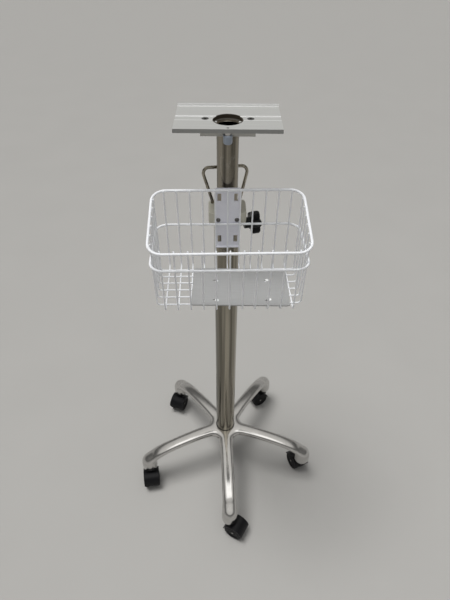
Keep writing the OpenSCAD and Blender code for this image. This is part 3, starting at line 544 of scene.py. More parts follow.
def run_tree(obj, tree, **values):
    mod = obj.modifiers.new(tree.name, "NODES")
    mod.node_group = tree
    for item in tree.interface.items_tree:
        key = item.name.lower().replace(" ", "_")
        if item.in_out == "INPUT" and key in values:
            mod[item.identifier] = values[key]
    obj.update_tag()
    bpy.context.view_layer.update()
    return bake(obj)


def wires(name, paths, diameter, material, sides=16, closed=False):
    """One object of round wires along paths of points."""
    verts, edges = [], []
    for path in paths:
        first = len(verts)
        verts += [tuple(p) for p in path]
        edges += [(first + i, first + i + 1) for i in range(len(path) - 1)]
        if closed:
            edges.append((len(verts) - 1, first))
    mesh = bpy.data.meshes.new(name)
    mesh.from_pydata(verts, edges, [])
    obj = new_object(name, mesh)
    tree = tree_named("Bent wire", wire_tree)
    return run_tree(obj, tree, wire_diameter=diameter, sides=sides, finish=material)


def screw_row(name, places, pattern, rotation, material):
    """Copies of one screw at the given places; the pattern is used up."""
    mesh = bpy.data.meshes.new(name)
    mesh.from_pydata([tuple(p) for p in places], [], [])
    obj = new_object(name, mesh)
    run_tree(obj, tree_named("Screw row", row_tree), screw=pattern, turn=rotation, finish=material)
    discard(pattern)
    return obj


# Finishes


def calc(tree, operation, *values):
    """One step of arithmetic between sockets and numbers."""
    node = tree.nodes.new("ShaderNodeMath")
    node.operation = operation
    for socket, value in zip(node.inputs, values):
        if isinstance(value, bpy.types.NodeSocket):
            tree.links.new(value, socket)
        else:
            socket.default_value = value
    return node.outputs[0]


def within(tree, u, v, radius):
    square = calc(tree, "ADD", calc(tree, "MULTIPLY", u, u), calc(tree, "MULTIPLY", v, v))
    return calc(tree, "LESS_THAN", square, radius**2)


def hole_shade_mask(radius):
    """The inside of a round hole about the column's axis, where shade is painted."""
    return lambda tree, x, y: within(tree, x, y, radius)


def highlight_strip_mask(half, *places):
    """Strips from side to side at the given distances behind the axis, where highlights and light
    are painted.
    """

    def mask(tree, x, y):
        strips = 0.0
        for at in places:
            strips = calc(tree, "MAXIMUM", strips, calc(tree, "COMPARE", y, at, half))
        return strips

    return mask


def front_shade_mask(limit):
    """Everything in front of a line from side to side, where shade is painted."""
    return lambda tree, x, y: calc(tree, "LESS_THAN", y, limit)


def beyond(tree, at, middle, half):
    """How far a coordinate lies outside a half width about a middle."""
    away = calc(tree, "ABSOLUTE", calc(tree, "SUBTRACT", at, middle))
    return calc(tree, "SUBTRACT", away, half)


def rim_glint_mask(middle, half_x, half_y, angle, radius):
    """Rims of four holes about a middle, in a pattern turned about the column, where glints are
    painted.
    """

    def mask(tree, x, y):
        c, s = math.cos(angle), math.sin(angle)
        u = calc(tree, "ADD", calc(tree, "MULTIPLY", x, c), calc(tree, "MULTIPLY", y, s))
        v = calc(tree, "SUBTRACT", calc(tree, "MULTIPLY", y, c), calc(tree, "MULTIPLY", x, s))
        across = beyond(tree, u, middle[0], half_x)
        deep = beyond(tree, v, middle[1], half_y)
        return within(tree, across, deep, radius)

    return mask


def paint_light(tree, point, mask, tone):
    """Lay painted light and shade over a finish where its mask says so."""
    split = tree.nodes.new("ShaderNodeSeparateXYZ")
    tree.links.new(point, split.inputs["Vector"])
    target = tree.nodes["Principled BSDF"].inputs["Base Color"]
    mix = tree.nodes.new("ShaderNodeMix")
    mix.data_type = "RGBA"
    # Sockets of the mix node in its colour mode
    factor, under, over, mixed = mix.inputs[0], mix.inputs[6], mix.inputs[7], mix.outputs[2]
    tree.links.new(target.links[0].from_socket, under)
    over.default_value = (*tone, 1.0)
    tree.links.new(mask(tree, split.outputs["X"], split.outputs["Y"]), factor)
    tree.links.new(mixed, target)


def finish(name, tone, metal=0.0, rough=0.5, spread=0.05, grain=(1.0, 1.0, 1.0), scale=300.0,
           depth=0.08, bump=0.0, detail=4.0, soft=0.2, gloss=0.5, light_patches=()):
    """Procedural material: colour and roughness wander with a noise in object space, and masked
    patches paint highlights and shade over the colour.
    """
    made = bpy.data.materials.get(name)
    if made:
        return made
    mat = bpy.data.materials.new(name)
    mat.use_nodes = True
    nodes, link = mat.node_tree.nodes, mat.node_tree.links.new
    bsdf = nodes["Principled BSDF"]
    bsdf.inputs["Metallic"].default_value = metal
    bsdf.inputs["Specular IOR Level"].default_value = gloss
    coord = nodes.new("ShaderNodeTexCoord")
    mapping = nodes.new("ShaderNodeMapping")
    mapping.inputs["Scale"].default_value = grain
    noise = nodes.new("ShaderNodeTexNoise")
    noise.inputs["Scale"].default_value = scale
    noise.inputs["Detail"].default_value = detail
    ramp = nodes.new("ShaderNodeValToRGB")
    ramp.color_ramp.elements[0].position = 0.5 - soft
    ramp.color_ramp.elements[1].position = 0.5 + soft
    ramp.color_ramp.elements[0].color = [c * (1.0 - depth) for c in tone] + [1.0]
    ramp.color_ramp.elements[1].color = [min(1.0, c * (1.0 + depth)) for c in tone] + [1.0]
    wander = nodes.new("ShaderNodeMapRange")
    wander.inputs["From Min"].default_value = 0.3
    wander.inputs["From Max"].default_value = 0.7
    wander.inputs["To Min"].default_value = max(0.02, rough - spread)
    wander.inputs["To Max"].default_value = min(1.0, rough + spread)
    link(coord.outputs["Object"], mapping.inputs["Vector"])
    link(mapping.outputs["Vector"], noise.inputs["Vector"])
    link(noise.outputs["Fac"], ramp.inputs["Fac"])
    link(ramp.outputs["Color"], bsdf.inputs["Base Color"])
    link(noise.outputs["Fac"], wander.inputs["Value"])
    link(wander.outputs["Result"], bsdf.inputs["Roughness"])
    if bump:
        relief = nodes.new("ShaderNodeBump")
        relief.inputs["Strength"].default_value = bump
        relief.inputs["Distance"].default_value = 0.0002
        link(noise.outputs["Fac"], relief.inputs["Height"])
        link(relief.outputs["Normal"], bsdf.inputs["Normal"])
    # Painted light and shade laid over the colour.
    for mask, over in light_patches:
        paint_light(mat.node_tree, coord.outputs["Object"], mask, over)
    return mat


def finishes(context):
    """All the stand's materials, by the name of the surface."""
    c = context.scene.stand_finishes
    s = context.scene.stand_plate
    spin = context.scene.stand_column.fittings_turn
    # Painted shade inside the plate's hole and the flange's recess.
    hole = (hole_shade_mask(s.bore), c.bore)
    # Painted highlights along the channel's edges, and painted light on the raised edge's front
    # face, which lies in shade.
    channel = (highlight_strip_mask(s.mark, -s.channel_front, s.channel_back, s.back_edge), c.edge)
    # Painted shade on the plate's front face.
    face = (front_shade_mask(-s.front), c.front)
    # Painted glints on the rims and walls of the loose plate's four holes.
    middle = (s.hole_x, -s.hole_y)
    rims = (rim_glint_mask(middle, s.hole_half_x, s.hole_half_y, spin, s.rim_glint_radius), c.edge)
    return {
        "base": finish(
            "Polished base", c.base, metal=1.0, rough=0.16, spread=0.04, scale=60.0, depth=0.05
        ),
        # Painted reflection: both tubes' dark brownish tones stand in for the dark room the
        # polished steel reflects.
        "tube": finish(
            "Polished stainless tube", c.tube, metal=1.0, rough=0.16, spread=0.06,
            grain=(1.0, 1.0, 0.012), scale=130.0, depth=0.45, detail=6.0, soft=0.1
        ),
        "mast": finish(
            "Polished sliding tube", c.mast, metal=1.0, rough=0.12, spread=0.05,
            grain=(1.0, 1.0, 0.012), scale=110.0, depth=0.6, detail=5.0, soft=0.12
        ),
        "steel": finish("Plain steel", c.steel, metal=1.0, rough=0.3, spread=0.08, scale=500.0),
        "black": finish(
            "Black plastic", c.black, rough=0.36, spread=0.06, scale=1800.0,
            depth=0.2, bump=0.12, gloss=0.22
        ),
        "tyre": finish(
            "Wheel tread", c.tyre, rough=0.5, spread=0.08, scale=900.0,
            depth=0.2, bump=0.1, gloss=0.2
        ),
        "collar": finish(
            "Grey collar", c.collar, rough=0.42, spread=0.06, scale=1500.0, depth=0.06, bump=0.1
        ),
        "powder": finish(
            "White powder coat", c.powder, rough=0.34, spread=0.05, scale=900.0,
            depth=0.03, bump=0.1
        ),
        "bracket": finish(
            "White bracket", c.bracket, rough=0.36, spread=0.05, scale=900.0,
            depth=0.03, bump=0.08
        ),
        # The sheet carries the painted glints at its hole rims.
        "sheet": finish(
            "Grey sheet", c.sheet, metal=0.15, rough=0.5, spread=0.06,
            grain=(0.02, 1.0, 1.0), scale=1500.0, light_patches=(rims,)
        ),
        # The plate carries painted highlights on its channel and raised edge, and painted shade on
        # its front face and in its hole.
        "plate": finish(
            "Satin aluminium", c.plate, metal=0.3, rough=0.42, spread=0.05,
            grain=(0.01, 1.0, 1.0), scale=1600.0, light_patches=(channel, face, hole)
        ),
        # The flange carries the painted shade in its recess under the hole.
        "flange": finish(
            "Flange", c.flange, metal=0.4, rough=0.45, spread=0.06, scale=900.0, light_patches=(hole,)
        ),
        # Painted shade on the countersunk screws.
        "countersunk": finish(
            "Countersunk screws", c.countersunk, metal=0.5, rough=0.4, spread=0.08, scale=900.0
        ),
        # Painted highlight on the tube screws.
        "bright": finish("Bright screws", c.bright, metal=0.4, rough=0.3, spread=0.06, scale=900.0),
        # Painted reflection in the darkened screw heads.
        "screw": finish("Screw heads", c.screw, metal=1.0, rough=0.28, spread=0.08, scale=900.0),
        "latch": finish(
            "Latch knob", c.latch, rough=0.36, spread=0.05, scale=1500.0, depth=0.06, bump=0.05
        ),
        "bush": finish("White plastic", c.bush, rough=0.45, spread=0.05, scale=1200.0, depth=0.04),
    }


def about_z(angle):
    return Matrix.Rotation(angle, 4, "Z")


def leg_matrix(context, k):
    s = context.scene.stand_base
    return about_z(s.leg_turn + 2.0 * math.pi * k / len(LEGS))


def stem_place(context, k):
    return leg_matrix(context, k) @ Vector((context.scene.stand_base.stem_circle, 0.0, 0.0))


def caster_matrix(context, k):
    """From a caster drawn about its axle, trail along +X, to its place in the stand."""
    c = context.scene.stand_caster
    trail = getattr(c, LEGS[k] + "_turn")
    axle = Matrix.Translation((c.trail, 0.0, c.wheel / 2))
    return Matrix.Translation(stem_place(context, k)) @ about_z(trail) @ axle


def along_clamp(s):
    """From a piece drawn along +Z to the clamp screw's axis."""
    lift = Matrix.Translation((0.0, 0.0, s.lower_top - s.stud_drop))
    return about_z(s.clamp_turn) @ lift @ Matrix.Rotation(math.pi / 2, 4, "Y")


def drill(s, r):
    """Cutter for the clamp screw's hole."""
    rod = lathe([(0.0, 0.0), (r, 0.0), (r, s.lower_width), (0.0, s.lower_width)], turns=48)
    return mesh_object("drill", *place(rod, along_clamp(s)))


# Operators


class STAND_OT_base(bpy.types.Operator):
    """Cast the five-leg base"""

    bl_idname = "stand.base"
    bl_label = "Base"

    fullness = 0.72

    def section(self, w, h, steps=24):
        points = []
        for i in range(steps + 1):
            a = math.pi * (1.0 - i / steps)
            c, s = math.cos(a), max(math.sin(a), 0.0)
            points.append((math.copysign(w / 2 * abs(c) ** self.fullness, c), h * s**self.fullness))
        return points

    def dome(self, share):
        """Height of a section at a share of its half width, as a share of its full height."""
        power = 2.0 / self.fullness
        return (1.0 - share**power) ** (1.0 / power)

    def size(self, t, root, waist, end):
        if t < 0.5:
            return waist + (root - waist) * (1.0 - 2.0 * t) ** 5
        return waist + (end - waist) * (2.0 * t - 1.0) ** 3

    def crest(self, s, t):
        """Height of a leg's top along its way from the hub to its end."""
        end_top = s.end_bottom + s.end_height - MM
        root_top = s.hub_top + s.crest_rise
        return root_top - (root_top - end_top - s.tip_drop) * t**2 - s.tip_drop * t**12

    def shaft(self, s):
        return s.end_bottom + s.end_height - s.cap_height

    def leg(self, s):
        """A leg whose top runs straight over into its round end."""
        rings = []
        stations = 56
        span = s.stem_circle - s.leg_start
        high = self.crest(s, 1.0 - s.brow_start / span)
        low = self.shaft(s) + s.cap_height * self.dome(2.0 * s.brow_end / s.end_width)
        for i in range(stations):
            r = s.leg_start + (span + s.brow_end) * i / (stations - 1)
            past = r - s.stem_circle
            t = min(1.0, 1.0 + past / span)
            w = self.size(t, s.root_width, s.waist_width, s.end_width - MM)
            bottom = self.crest(s, t) - self.size(t, s.root_height, s.waist_height, s.tip_height)
            brow = high + (low - high) * (past + s.brow_start) / (s.brow_start + s.brow_end)
            top = self.crest(s, t) if past < -s.brow_start else max(self.crest(s, t), brow)
            if past > 0.0:
                w, top = 2.0 * math.sqrt(w**2 / 4 - past**2), brow
            rings.append([(r, y, bottom + z) for y, z in self.section(w, top - bottom)])
        return loft(rings)

    def leg_end(self, s):
        shaft = self.shaft(s)
        section = self.section(s.end_width, s.cap_height, steps=48)
        dome = [(y, shaft + z) for y, z in section if y > 1e-6]
        edge, r = 1.2 * MM, s.end_width / 2
        profile = [(0.0, s.end_bottom + s.end_height)] + dome[1:]
        profile += [(r, s.end_bottom + edge), (r - edge, s.end_bottom), (0.0, s.end_bottom)]
        return place(lathe(profile), Matrix.Translation((s.stem_circle, 0.0, 0.0)))

    def hub(self, s):
        r, rim = s.hub_width / 2, s.rim_width / 2
        edge, shoulder, neck, lip = 3 * MM, 20 * MM, 8 * MM, 2 * MM
        return lathe([
            (0.0, s.hub_bottom),
            (r - edge, s.hub_bottom),
            (r, s.hub_bottom + edge),
            (r, s.hub_top - shoulder),
            (rim + lip, s.hub_top - neck),
            (rim, s.hub_top - lip),
            (rim, s.hub_top),
            (0.0, s.hub_top),
        ])

    def web(self, s):
        """Sheet round the hub whose edge rounds the corners between the legs."""
        corner = math.pi / len(LEGS)
        middle = (s.waist_width / 2 + s.fillet) / math.sin(corner)
        reach = math.hypot(middle * math.cos(corner), s.waist_width / 2)
        inner, under, rows, turns = 15.0 * MM, 0.5 * MM, 24, 360
        tops, floors = [], []
        for i in range(rows + 1):
            share = 1.0 - (1.0 - i / rows) ** 2
            top, floor = [], []
            for k in range(turns):
                a = 2.0 * math.pi * k / turns
                off = (a % (2.0 * corner)) - corner
                side = abs(middle * math.sin(off))
                out = reach
                if side < s.fillet:
                    out = min(reach, middle * math.cos(off) - math.sqrt(s.fillet**2 - side**2))
                r = inner + (out - inner) * share
                apart = min(
                    math.hypot(r * math.cos(off + shift) - middle, r * math.sin(off + shift))
                    for shift in (-2.0 * corner, 0.0, 2.0 * corner)
                )
                t = max(0.0, (r - s.leg_start) / (s.stem_circle - s.leg_start))
                h = self.size(t, s.root_height, s.waist_height, s.waist_height)
                half = self.size(t, s.root_width, s.waist_width, s.waist_width) / 2
                rise = max(0.0, min(1.0, (apart - s.fillet) / half))
                low = self.crest(s, t) - h
                x, y = r * math.cos(a), r * math.sin(a)
                top.append((x, y, low + h * self.dome(1.0 - rise)))
                floor.append((x, y, low - under))
            tops.append(top)
            floors.append(floor)
        return loft(tops + floors[::-1], closed=True)

    def execute(self, context):
        s = context.scene.stand_base
        parts = [self.hub(s), place(self.web(s), leg_matrix(context, 0))]
        for k in range(len(LEGS)):
            m = leg_matrix(context, k)
            parts += [place(self.leg(s), m), place(self.leg_end(s), m)]
        obj = mesh_object("base_casting", *joined(*parts))
        skin = obj.modifiers.new("Skin", "REMESH")
        skin.mode = "VOXEL"
        skin.voxel_size = s.cell
        bake(obj)
        near = obj.vertex_groups.new(name="Fillets")
        stems = [stem_place(context, k).xy for k in range(len(LEGS))]
        for vertex in obj.data.vertices:
            spot = vertex.co.xy
            away = spot.length / s.fillet_reach
            if vertex.co.z > self.shaft(s):
                away = min([away] + [(spot - stem).length / s.end_reach for stem in stems])
            near.add([vertex.index], max(0.0, min(1.0, 2.0 * (1.0 - away))), "REPLACE")
        for group, rounds in (("", 14), (near.name, 24)):
            ease = obj.modifiers.new("Ease", "SMOOTH")
            ease.factor = 0.5
            ease.iterations = rounds
            ease.vertex_group = group
        bake(obj)
        obj.vertex_groups.clear()
        tube = context.scene.stand_column.lower_width / 2
        fit, gap, up = tube + FIT_CLEAR, tube + s.seam, 0.2
        depth, slope = 3.5 * MM, 1.5 * MM
        deep = s.hub_top - depth
        bore = mesh_object("bore", *lathe([
            (0.0, s.seat), (fit, s.seat), (fit, deep), (gap, deep + slope), (gap, up), (0.0, up)
        ]))
        combine(obj, bore, "DIFFERENCE")
        shade(obj, angle=50.0)
        carry(obj, "stand", "polished_base", finishes(context)["base"], "star_base")
        return {"FINISHED"}


class STAND_OT_casters(bpy.types.Operator):
    """Make the caster stems, hoods, axles and wheels"""

    bl_idname = "stand.casters"
    bl_label = "Casters"

    def wheel(self, c):
        """Profile of one wheel from its inner face outwards along +Z."""
        r, t, w = c.wheel / 2, c.tread_round, c.width
        low = [(r - t + t * math.sin(a), t - t * math.cos(a)) for a in quarter(8)]
        high = [(x, w - z) for x, z in reversed(low)]
        groove, deep, boss = 0.5 * MM, 1.6 * MM, 0.7 * MM
        face = [
            (r - 4.6 * MM, w),
            (r - 5.0 * MM, w - groove),
            (r - 5.6 * MM, w - groove),
            (r - 6.0 * MM, w),
            (c.recess, w),
            (c.recess - 1.0 * MM, w - deep),
            (9.0 * MM, w - deep),
            (8.4 * MM, w - boss),
            (5.0 * MM, w - boss),
            (4.4 * MM, w - deep),
            (c.bore, w - deep),
        ]
        return lathe([(c.bore, 0.0)] + low + high + face, turns=80, closed=True)

    def execute(self, context):
        c = context.scene.stand_caster
        f = finishes(context)
        dressed("caster_stems", "caster_stem_set", "stand", "steel", f["steel"], edge=0.3 * MM)
        for k, leg in enumerate(LEGS):
            caster = leg + "_caster"
            hood, axle = leg + "_hood", leg + "_axle"
            dressed(
                hood, hood + "_shell", caster, "caster_black", f["black"], edge=0.8 * MM, segments=3
            )
            dressed(axle, axle + "_pin", caster, "steel", f["steel"], edge=0.3 * MM)
            for side, flip in (("a", -1), ("b", 1)):
                m = caster_matrix(context, k) @ Matrix.Rotation(flip * math.pi / 2, 4, "X")
                m = m @ Matrix.Translation((0.0, 0.0, c.inner_gap))
                obj = mesh_object(f"{leg}_tyre_{side}", *place(self.wheel(c), m))
                shade(obj, angle=40.0)
                carry(obj, f"{leg}_wheel_{side}", "wheel_black", f["tyre"], f"{leg}_wheel_{side}")
        return {"FINISHED"}


class STAND_OT_column(bpy.types.Operator):
    """Make the two tubes and what holds them"""

    bl_idname = "stand.column"
    bl_label = "Column"

    def tube(self, name, width, wall, low, high):
        r, q, e = width / 2, width / 2 - wall, 0.4 * MM
        outside = [(q + e, low), (r - e, low), (r, low + e), (r, high - e)]
        inside = [(r - e, high), (q + e, high), (q, high - e), (q, low + e)]
        return mesh_object(name, *lathe(outside + inside, turns=128, closed=True))

    def execute(self, context):
        s = context.scene.stand_column
        f = finishes(context)
        seat = context.scene.stand_base.seat
        lower = self.tube("lower_tube_wall", s.lower_width, s.lower_wall, seat, s.lower_top)
        hole_r = s.stud_width / 2 + 0.5 * MM
        combine(lower, drill(s, hole_r), "DIFFERENCE")
        shade(lower)
        carry(lower, "stand", "polished_tube", f["tube"], "lower_tube")
        upper = self.tube("upper_tube_wall", s.upper_width, s.upper_wall, s.upper_foot, s.upper_top)
        shade(upper)
        carry(upper, "mast", "polished_tube", f["mast"], "upper_tube")
        bush = "foot_bush"
        dressed(bush, bush + "_sleeve", "mast_carriage", "bush_white", f["bush"], edge=0.4 * MM)
        for node in ("column_plug", "column_bolt", "column_washer"):
            dressed(node, node + "_part", "stand", "steel", f["steel"], edge=0.3 * MM)
        return {"FINISHED"}


class STAND_OT_collar(bpy.types.Operator):
    """Mould the collar on the lower tube's end"""

    bl_idname = "stand.collar"
    bl_label = "Collar"

    def execute(self, context):
        s = context.scene.stand_column
        e, bend = s.collar_edge, quarter(6)
        low, high = s.lower_top, s.lower_top + s.collar_height
        bore = s.upper_width / 2 + RUN_CLEAR
        rings = []
        outline = round_rect(s.collar_width, s.collar_depth, s.collar_corner, steps=12)
        circle = [Vector(p).normalized() for p in outline]
        lip = 0.8 * MM

        def outer(inset, z):
            width, depth = s.collar_width - 2 * inset, s.collar_depth - 2 * inset
            shape = round_rect(width, depth, s.collar_corner - inset, steps=12)
            rings.append([(x, y, z) for x, y in shape])

        rings.append([(p[0] * bore, p[1] * bore, low) for p in circle])
        for a in bend:
            outer(e * (1 - math.sin(a)), low + e * (1 - math.cos(a)))
        for a in bend:
            outer(e * (1 - math.cos(a)), high - e * (1 - math.sin(a)))
        rings.append([(p[0] * (bore + lip), p[1] * (bore + lip), high) for p in circle])
        rings.append([(p[0] * bore, p[1] * bore, high - lip) for p in circle])
        body = loft(rings, closed=True)
        r = s.lower_width / 2 - s.lower_wall - FIT_CLEAR
        foot = low - s.spigot
        spigot = lathe([(bore, foot), (r, foot), (r, low), (bore, low)], closed=True)
        obj = mesh_object("collar_block", *place(joined(body, spigot), about_z(s.fittings_turn)))
        combine(obj, drill(s, s.stud_width / 2 + RUN_CLEAR), "DIFFERENCE")
        shade(obj)
        carry(obj, "stand", "collar_grey", finishes(context)["collar"], "lock_collar")
        return {"FINISHED"}


class STAND_OT_clamp(bpy.types.Operator):
    """Make the clamp's pad, threaded stud and lobed knob"""

    bl_idname = "stand.clamp"
    bl_label = "Clamp"

    def outline(self, s, count=240):
        """Radius of the knob's head by angle, with the valleys filleted."""
        lobe, ring = s.knob_lobe / 2, (s.knob_width - s.knob_lobe) / 2
        raw = []
        for k in range(count):
            a = 2.0 * math.pi * k / count
            step = 2.0 * math.pi / s.knob_lobes
            d = (a + step / 2) % step - step / 2
            side = lobe**2 - (ring * math.sin(d)) ** 2
            far = ring * math.cos(d) + math.sqrt(side) if side > 0 else 0.0
            raw.append(max(s.knob_core, far))
        reach = 5
        near = range(-reach, reach + 1)
        return [sum(raw[(k + j) % count] for j in near) / len(near) for k in range(count)]

    def execute(self, context):
        s = context.scene.stand_column
        f = finishes(context)
        dressed("clamp_tip", "clamp_pad_disc", "clamp_pad", "bush_white", f["bush"], edge=0.4 * MM)
        along = along_clamp(s)
        thread, turns = 0.75 * MM, 48
        rows = int(round((s.stud_end - s.stud_start) / s.stud_pitch * 10))
        rings = []
        for i in range(rows + 1):
            x = s.stud_start + (s.stud_end - s.stud_start) * i / rows
            ring = []
            for k in range(turns):
                a = 2.0 * math.pi * k / turns
                wave = abs(2.0 * ((x / s.stud_pitch - k / turns) % 1.0) - 1.0)
                r = s.stud_width / 2 - thread * wave
                ring.append((r * math.cos(a), r * math.sin(a), x))
            rings.append(ring)
        stud = shade(mesh_object("clamp_thread", *place(loft(rings), along)), angle=60.0)
        carry(stud, "clamp_screw", "steel", f["steel"], "clamp_stud")
        head = s.knob_start + s.knob_hub_length
        end = head + s.knob_length
        shape = self.outline(s)
        hub = s.knob_hub / 2
        rows = [
            (hub - 1.2 * MM, False, s.knob_start),
            (hub - 0.3 * MM, False, s.knob_start + 0.3 * MM),
            (hub, False, s.knob_start + 1.2 * MM),
            (hub, False, head - 1.0 * MM),
            (hub + 0.6 * MM, False, head - 0.2 * MM),
            (hub + 1.6 * MM, False, head),
        ]
        edge, bend = 2.0 * MM, quarter(6)
        for a in bend:
            rows.append((edge * (1 - math.sin(a)), True, head + edge * (1 - math.cos(a))))
        crown, face = 4.0 * MM, end - 1.2 * MM
        for a in bend:
            rows.append((crown * (1 - math.cos(a)), True, face - crown * (1 - math.sin(a))))
        rows += [(9.5 * MM, False, end - 0.4 * MM), (6.0 * MM, False, end)]
        rings = []
        for size, lobed, x in rows:
            ring = []
            for k, r in enumerate(shape):
                a = 2.0 * math.pi * k / len(shape)
                q = r - size if lobed else size
                ring.append((-q * math.cos(a), q * math.sin(a), x))
            rings.append(ring)
        knob = shade(mesh_object("clamp_knob_grip", *place(loft(rings), along)), angle=40.0)
        carry(knob, "clamp_screw", "knob_black", f["black"], "clamp_knob")
        return {"FINISHED"}


class STAND_OT_handle(bpy.types.Operator):
    """Bend the push handle's rod"""

    bl_idname = "stand.handle"
    bl_label = "Handle"

    def execute(self, context):
        s = context.scene.stand_column
        top = s.lower_top + s.collar_height
        right = [
            Vector((s.handle_foot_x, s.handle_foot_y, top - s.handle_seat)),
            Vector((s.handle_foot_x, s.handle_foot_y, top + s.handle_straight)),
            Vector((s.handle_top_x, s.handle_top_y, top + s.handle_rise)),
        ]
        left = [Vector((-p.x, p.y, p.z)) for p in reversed(right)]
        bent = rounded(right + left, s.handle_bend, steps=12)
        path = [about_z(s.handle_turn) @ p for p in bent]
        # The handle takes the tube's finish with its painted reflection.
        steel = finishes(context)["tube"]
        obj = wires("push_handle_rod", [path], s.handle_rod, steel, sides=32)
        carry(obj, "stand", "handle_steel", steel, "push_handle")
        return {"FINISHED"}


class STAND_OT_basket(bpy.types.Operator):
    """Bend and weld the basket's wires"""

    bl_idname = "stand.basket"
    bl_label = "Basket"

    def inward(self, over, r):
        """How far a round corner pulls a wire in that stands over its start."""
        return r - math.sqrt(r * r - over * over) if over > 0 else 0.0

    def both(self, s, rim_over, hoop_over):
        """How far a wire is pulled in so that it touches rim and hoop from inside."""
        rim = self.inward(rim_over, s.corner - (s.rim_wire + s.wire) / 2)
        hoop = self.inward(hoop_over, s.corner - (s.hoop_wire + s.wire) / 2)
        return max(rim, hoop)

    def execute(self, context):
        s = context.scene.stand_basket
        white = finishes(context)["powder"]
        spin = about_z(context.scene.stand_column.fittings_turn)
        slope = math.atan(s.rim_drop / (s.rim_front - s.rim_back))
        run = (s.rim_front - s.rim_back) / math.cos(slope)

        def hoop(half, front, back):
            corners = ((half, back), (-half, back), (-half, front), (half, front))
            return rounded([(x, -y, 0.0) for x, y in corners], s.corner, steps=14, closed=True)

        hinge = Matrix.Translation((0.0, -s.rim_back, s.rim_back_z))
        tilt = spin @ hinge @ Matrix.Rotation(slope, 4, "X")
        path = [tilt @ p for p in hoop(s.rim_half, run, 0.0)]
        rim = wires("basket_rim_wire", [path], s.rim_wire, white, sides=24, closed=True)
        carry(rim, "stand", "wire_white", white, "basket_rim")
        lift = spin @ Matrix.Translation((0.0, 0.0, s.hoop_z))
        path = [lift @ p for p in hoop(s.hoop_half, s.hoop_front, s.hoop_back)]
        ring = wires("basket_hoop_wire", [path], s.hoop_wire, white, sides=24, closed=True)
        carry(ring, "stand", "wire_white", white, "basket_hoop")

        def rim_z(y):
            return s.rim_back_z - (y - s.rim_back) * math.tan(slope)

        short = s.wire_over - s.wire / 2
        paths = []
        for i in range(s.long_count):
            x = (i - (s.long_count - 1) / 2) * s.long_pitch
            over = abs(x) + s.corner
            pull = self.both(s, over - s.rim_half, over - s.hoop_half)
            front, back = s.wire_front - pull, s.wire_back + pull
            corners = [
                (x, -front, rim_z(s.rim_front) + short),
                (x, -front, s.floor_z),
                (x, -back, s.floor_z),
                (x, -back, rim_z(back) + short),
            ]
            paths.append([spin @ p for p in rounded(corners, s.bend)])
        obj = wires("basket_long_wires", paths, s.wire, white)
        carry(obj, "stand", "wire_white", white, "basket_front_wires", "basket_back_wires")
        paths = []
        for i in range(s.cross_count):
            y = s.wire_back + (i + 1) * s.cross_pitch
            rim_over = max(y - s.rim_front, s.rim_back - y) / math.cos(slope) + s.corner
            hoop_over = max(y - s.hoop_front, s.hoop_back - y) + s.corner
            half = s.wire_half - self.both(s, rim_over, hoop_over)
            top = rim_z(y) + short
            corners = [
                (-half, -y, top),
                (-half, -y, s.cross_z),
                (half, -y, s.cross_z),
                (half, -y, top),
            ]
            paths.append([spin @ p for p in rounded(corners, s.bend)])
        obj = wires("basket_cross_wires", paths, s.wire, white)
        carry(obj, "stand", "wire_white", white, "basket_side_wires", "basket_floor")
        return {"FINISHED"}


class STAND_OT_bracket(bpy.types.Operator):
    """Fold the basket's bracket and screw it to the collar"""

    bl_idname = "stand.bracket"
    bl_label = "Bracket"

    # Radius and height of a screw's outline, half sizes and heights of its cross slots, in mm
    head = ((0.0, 2.6), (1.6, 2.5), (3.0, 2.0), (3.9, 1.1), (4.25, 0.4), (4.25, 0.0))
    shank = ((2.5, 0.0), (2.5, -7.0), (0.0, -7.0))
    slots = ((1.8, 0.35), (0.35, 1.8))
    slot_heights = (1.3, 4.0)

    def execute(self, context):
        f = finishes(context)
        node = "basket_bracket"
        dressed(
            node, node + "_sheet", "stand", "bracket_white", f["bracket"], edge=0.5 * MM, segments=3
        )
        profile = [(r * MM, z * MM) for r, z in self.head + self.shank]
        pattern = mesh_object("screw", *lathe(profile, turns=40))
        for x, y in self.slots:
            outline = ((-x, -y), (x, -y), (x, y), (-x, y))
            rings = [[(u * MM, v * MM, z * MM) for u, v in outline] for z in self.slot_heights]
            combine(pattern, mesh_object("cross", *loft(rings)), "DIFFERENCE")
        shade(pattern, angle=40.0)
        s = context.scene.stand_basket
        spin = about_z(context.scene.stand_column.fittings_turn)
        places = [spin @ Vector((x, -s.screw_y, s.screw_z)) for x in (-s.screw_x, s.screw_x)]
        rotation = (spin @ Matrix.Rotation(math.pi / 2, 4, "X")).to_euler()
        # The bracket's screw heads carry the painted reflection.
        obj = screw_row("bracket_screw_pair", places, pattern, rotation, f["screw"])
        carry(obj, "stand", "steel", f["screw"], "bracket_screws")
        return {"FINISHED"}


class STAND_OT_plates(bpy.types.Operator):
    """Make the device plate, its flange, its screws and the loose adapter plate"""

    bl_idname = "stand.plates"
    bl_label = "Plates"

    def execute(self, context):
        f = finishes(context)
        for node, name, body, slot, surface, edge, segments in (
            ("adapter_plate", "adapter_sheet", "loose_plate", "sheet_grey", "sheet", 0.4, 2),
            ("device_plate", "device_plate_profile", "mast", "plate_aluminium", "plate", 0.5, 2),
            ("plate_flange", "plate_flange_block", "mast", "plate_aluminium", "flange", 0.6, 2),
            # The plate screws carry painted shade.
            ("plate_screws", "plate_screw_pair", "mast", "steel", "countersunk", 0.2, 2),
            # The tube screws carry the painted highlight.
            ("tube_screws", "tube_screw_pair", "mast", "steel", "bright", 0.5, 3),
        ):
            dressed(node, name, body, slot, f[surface], edge * MM, segments)
        return {"FINISHED"}


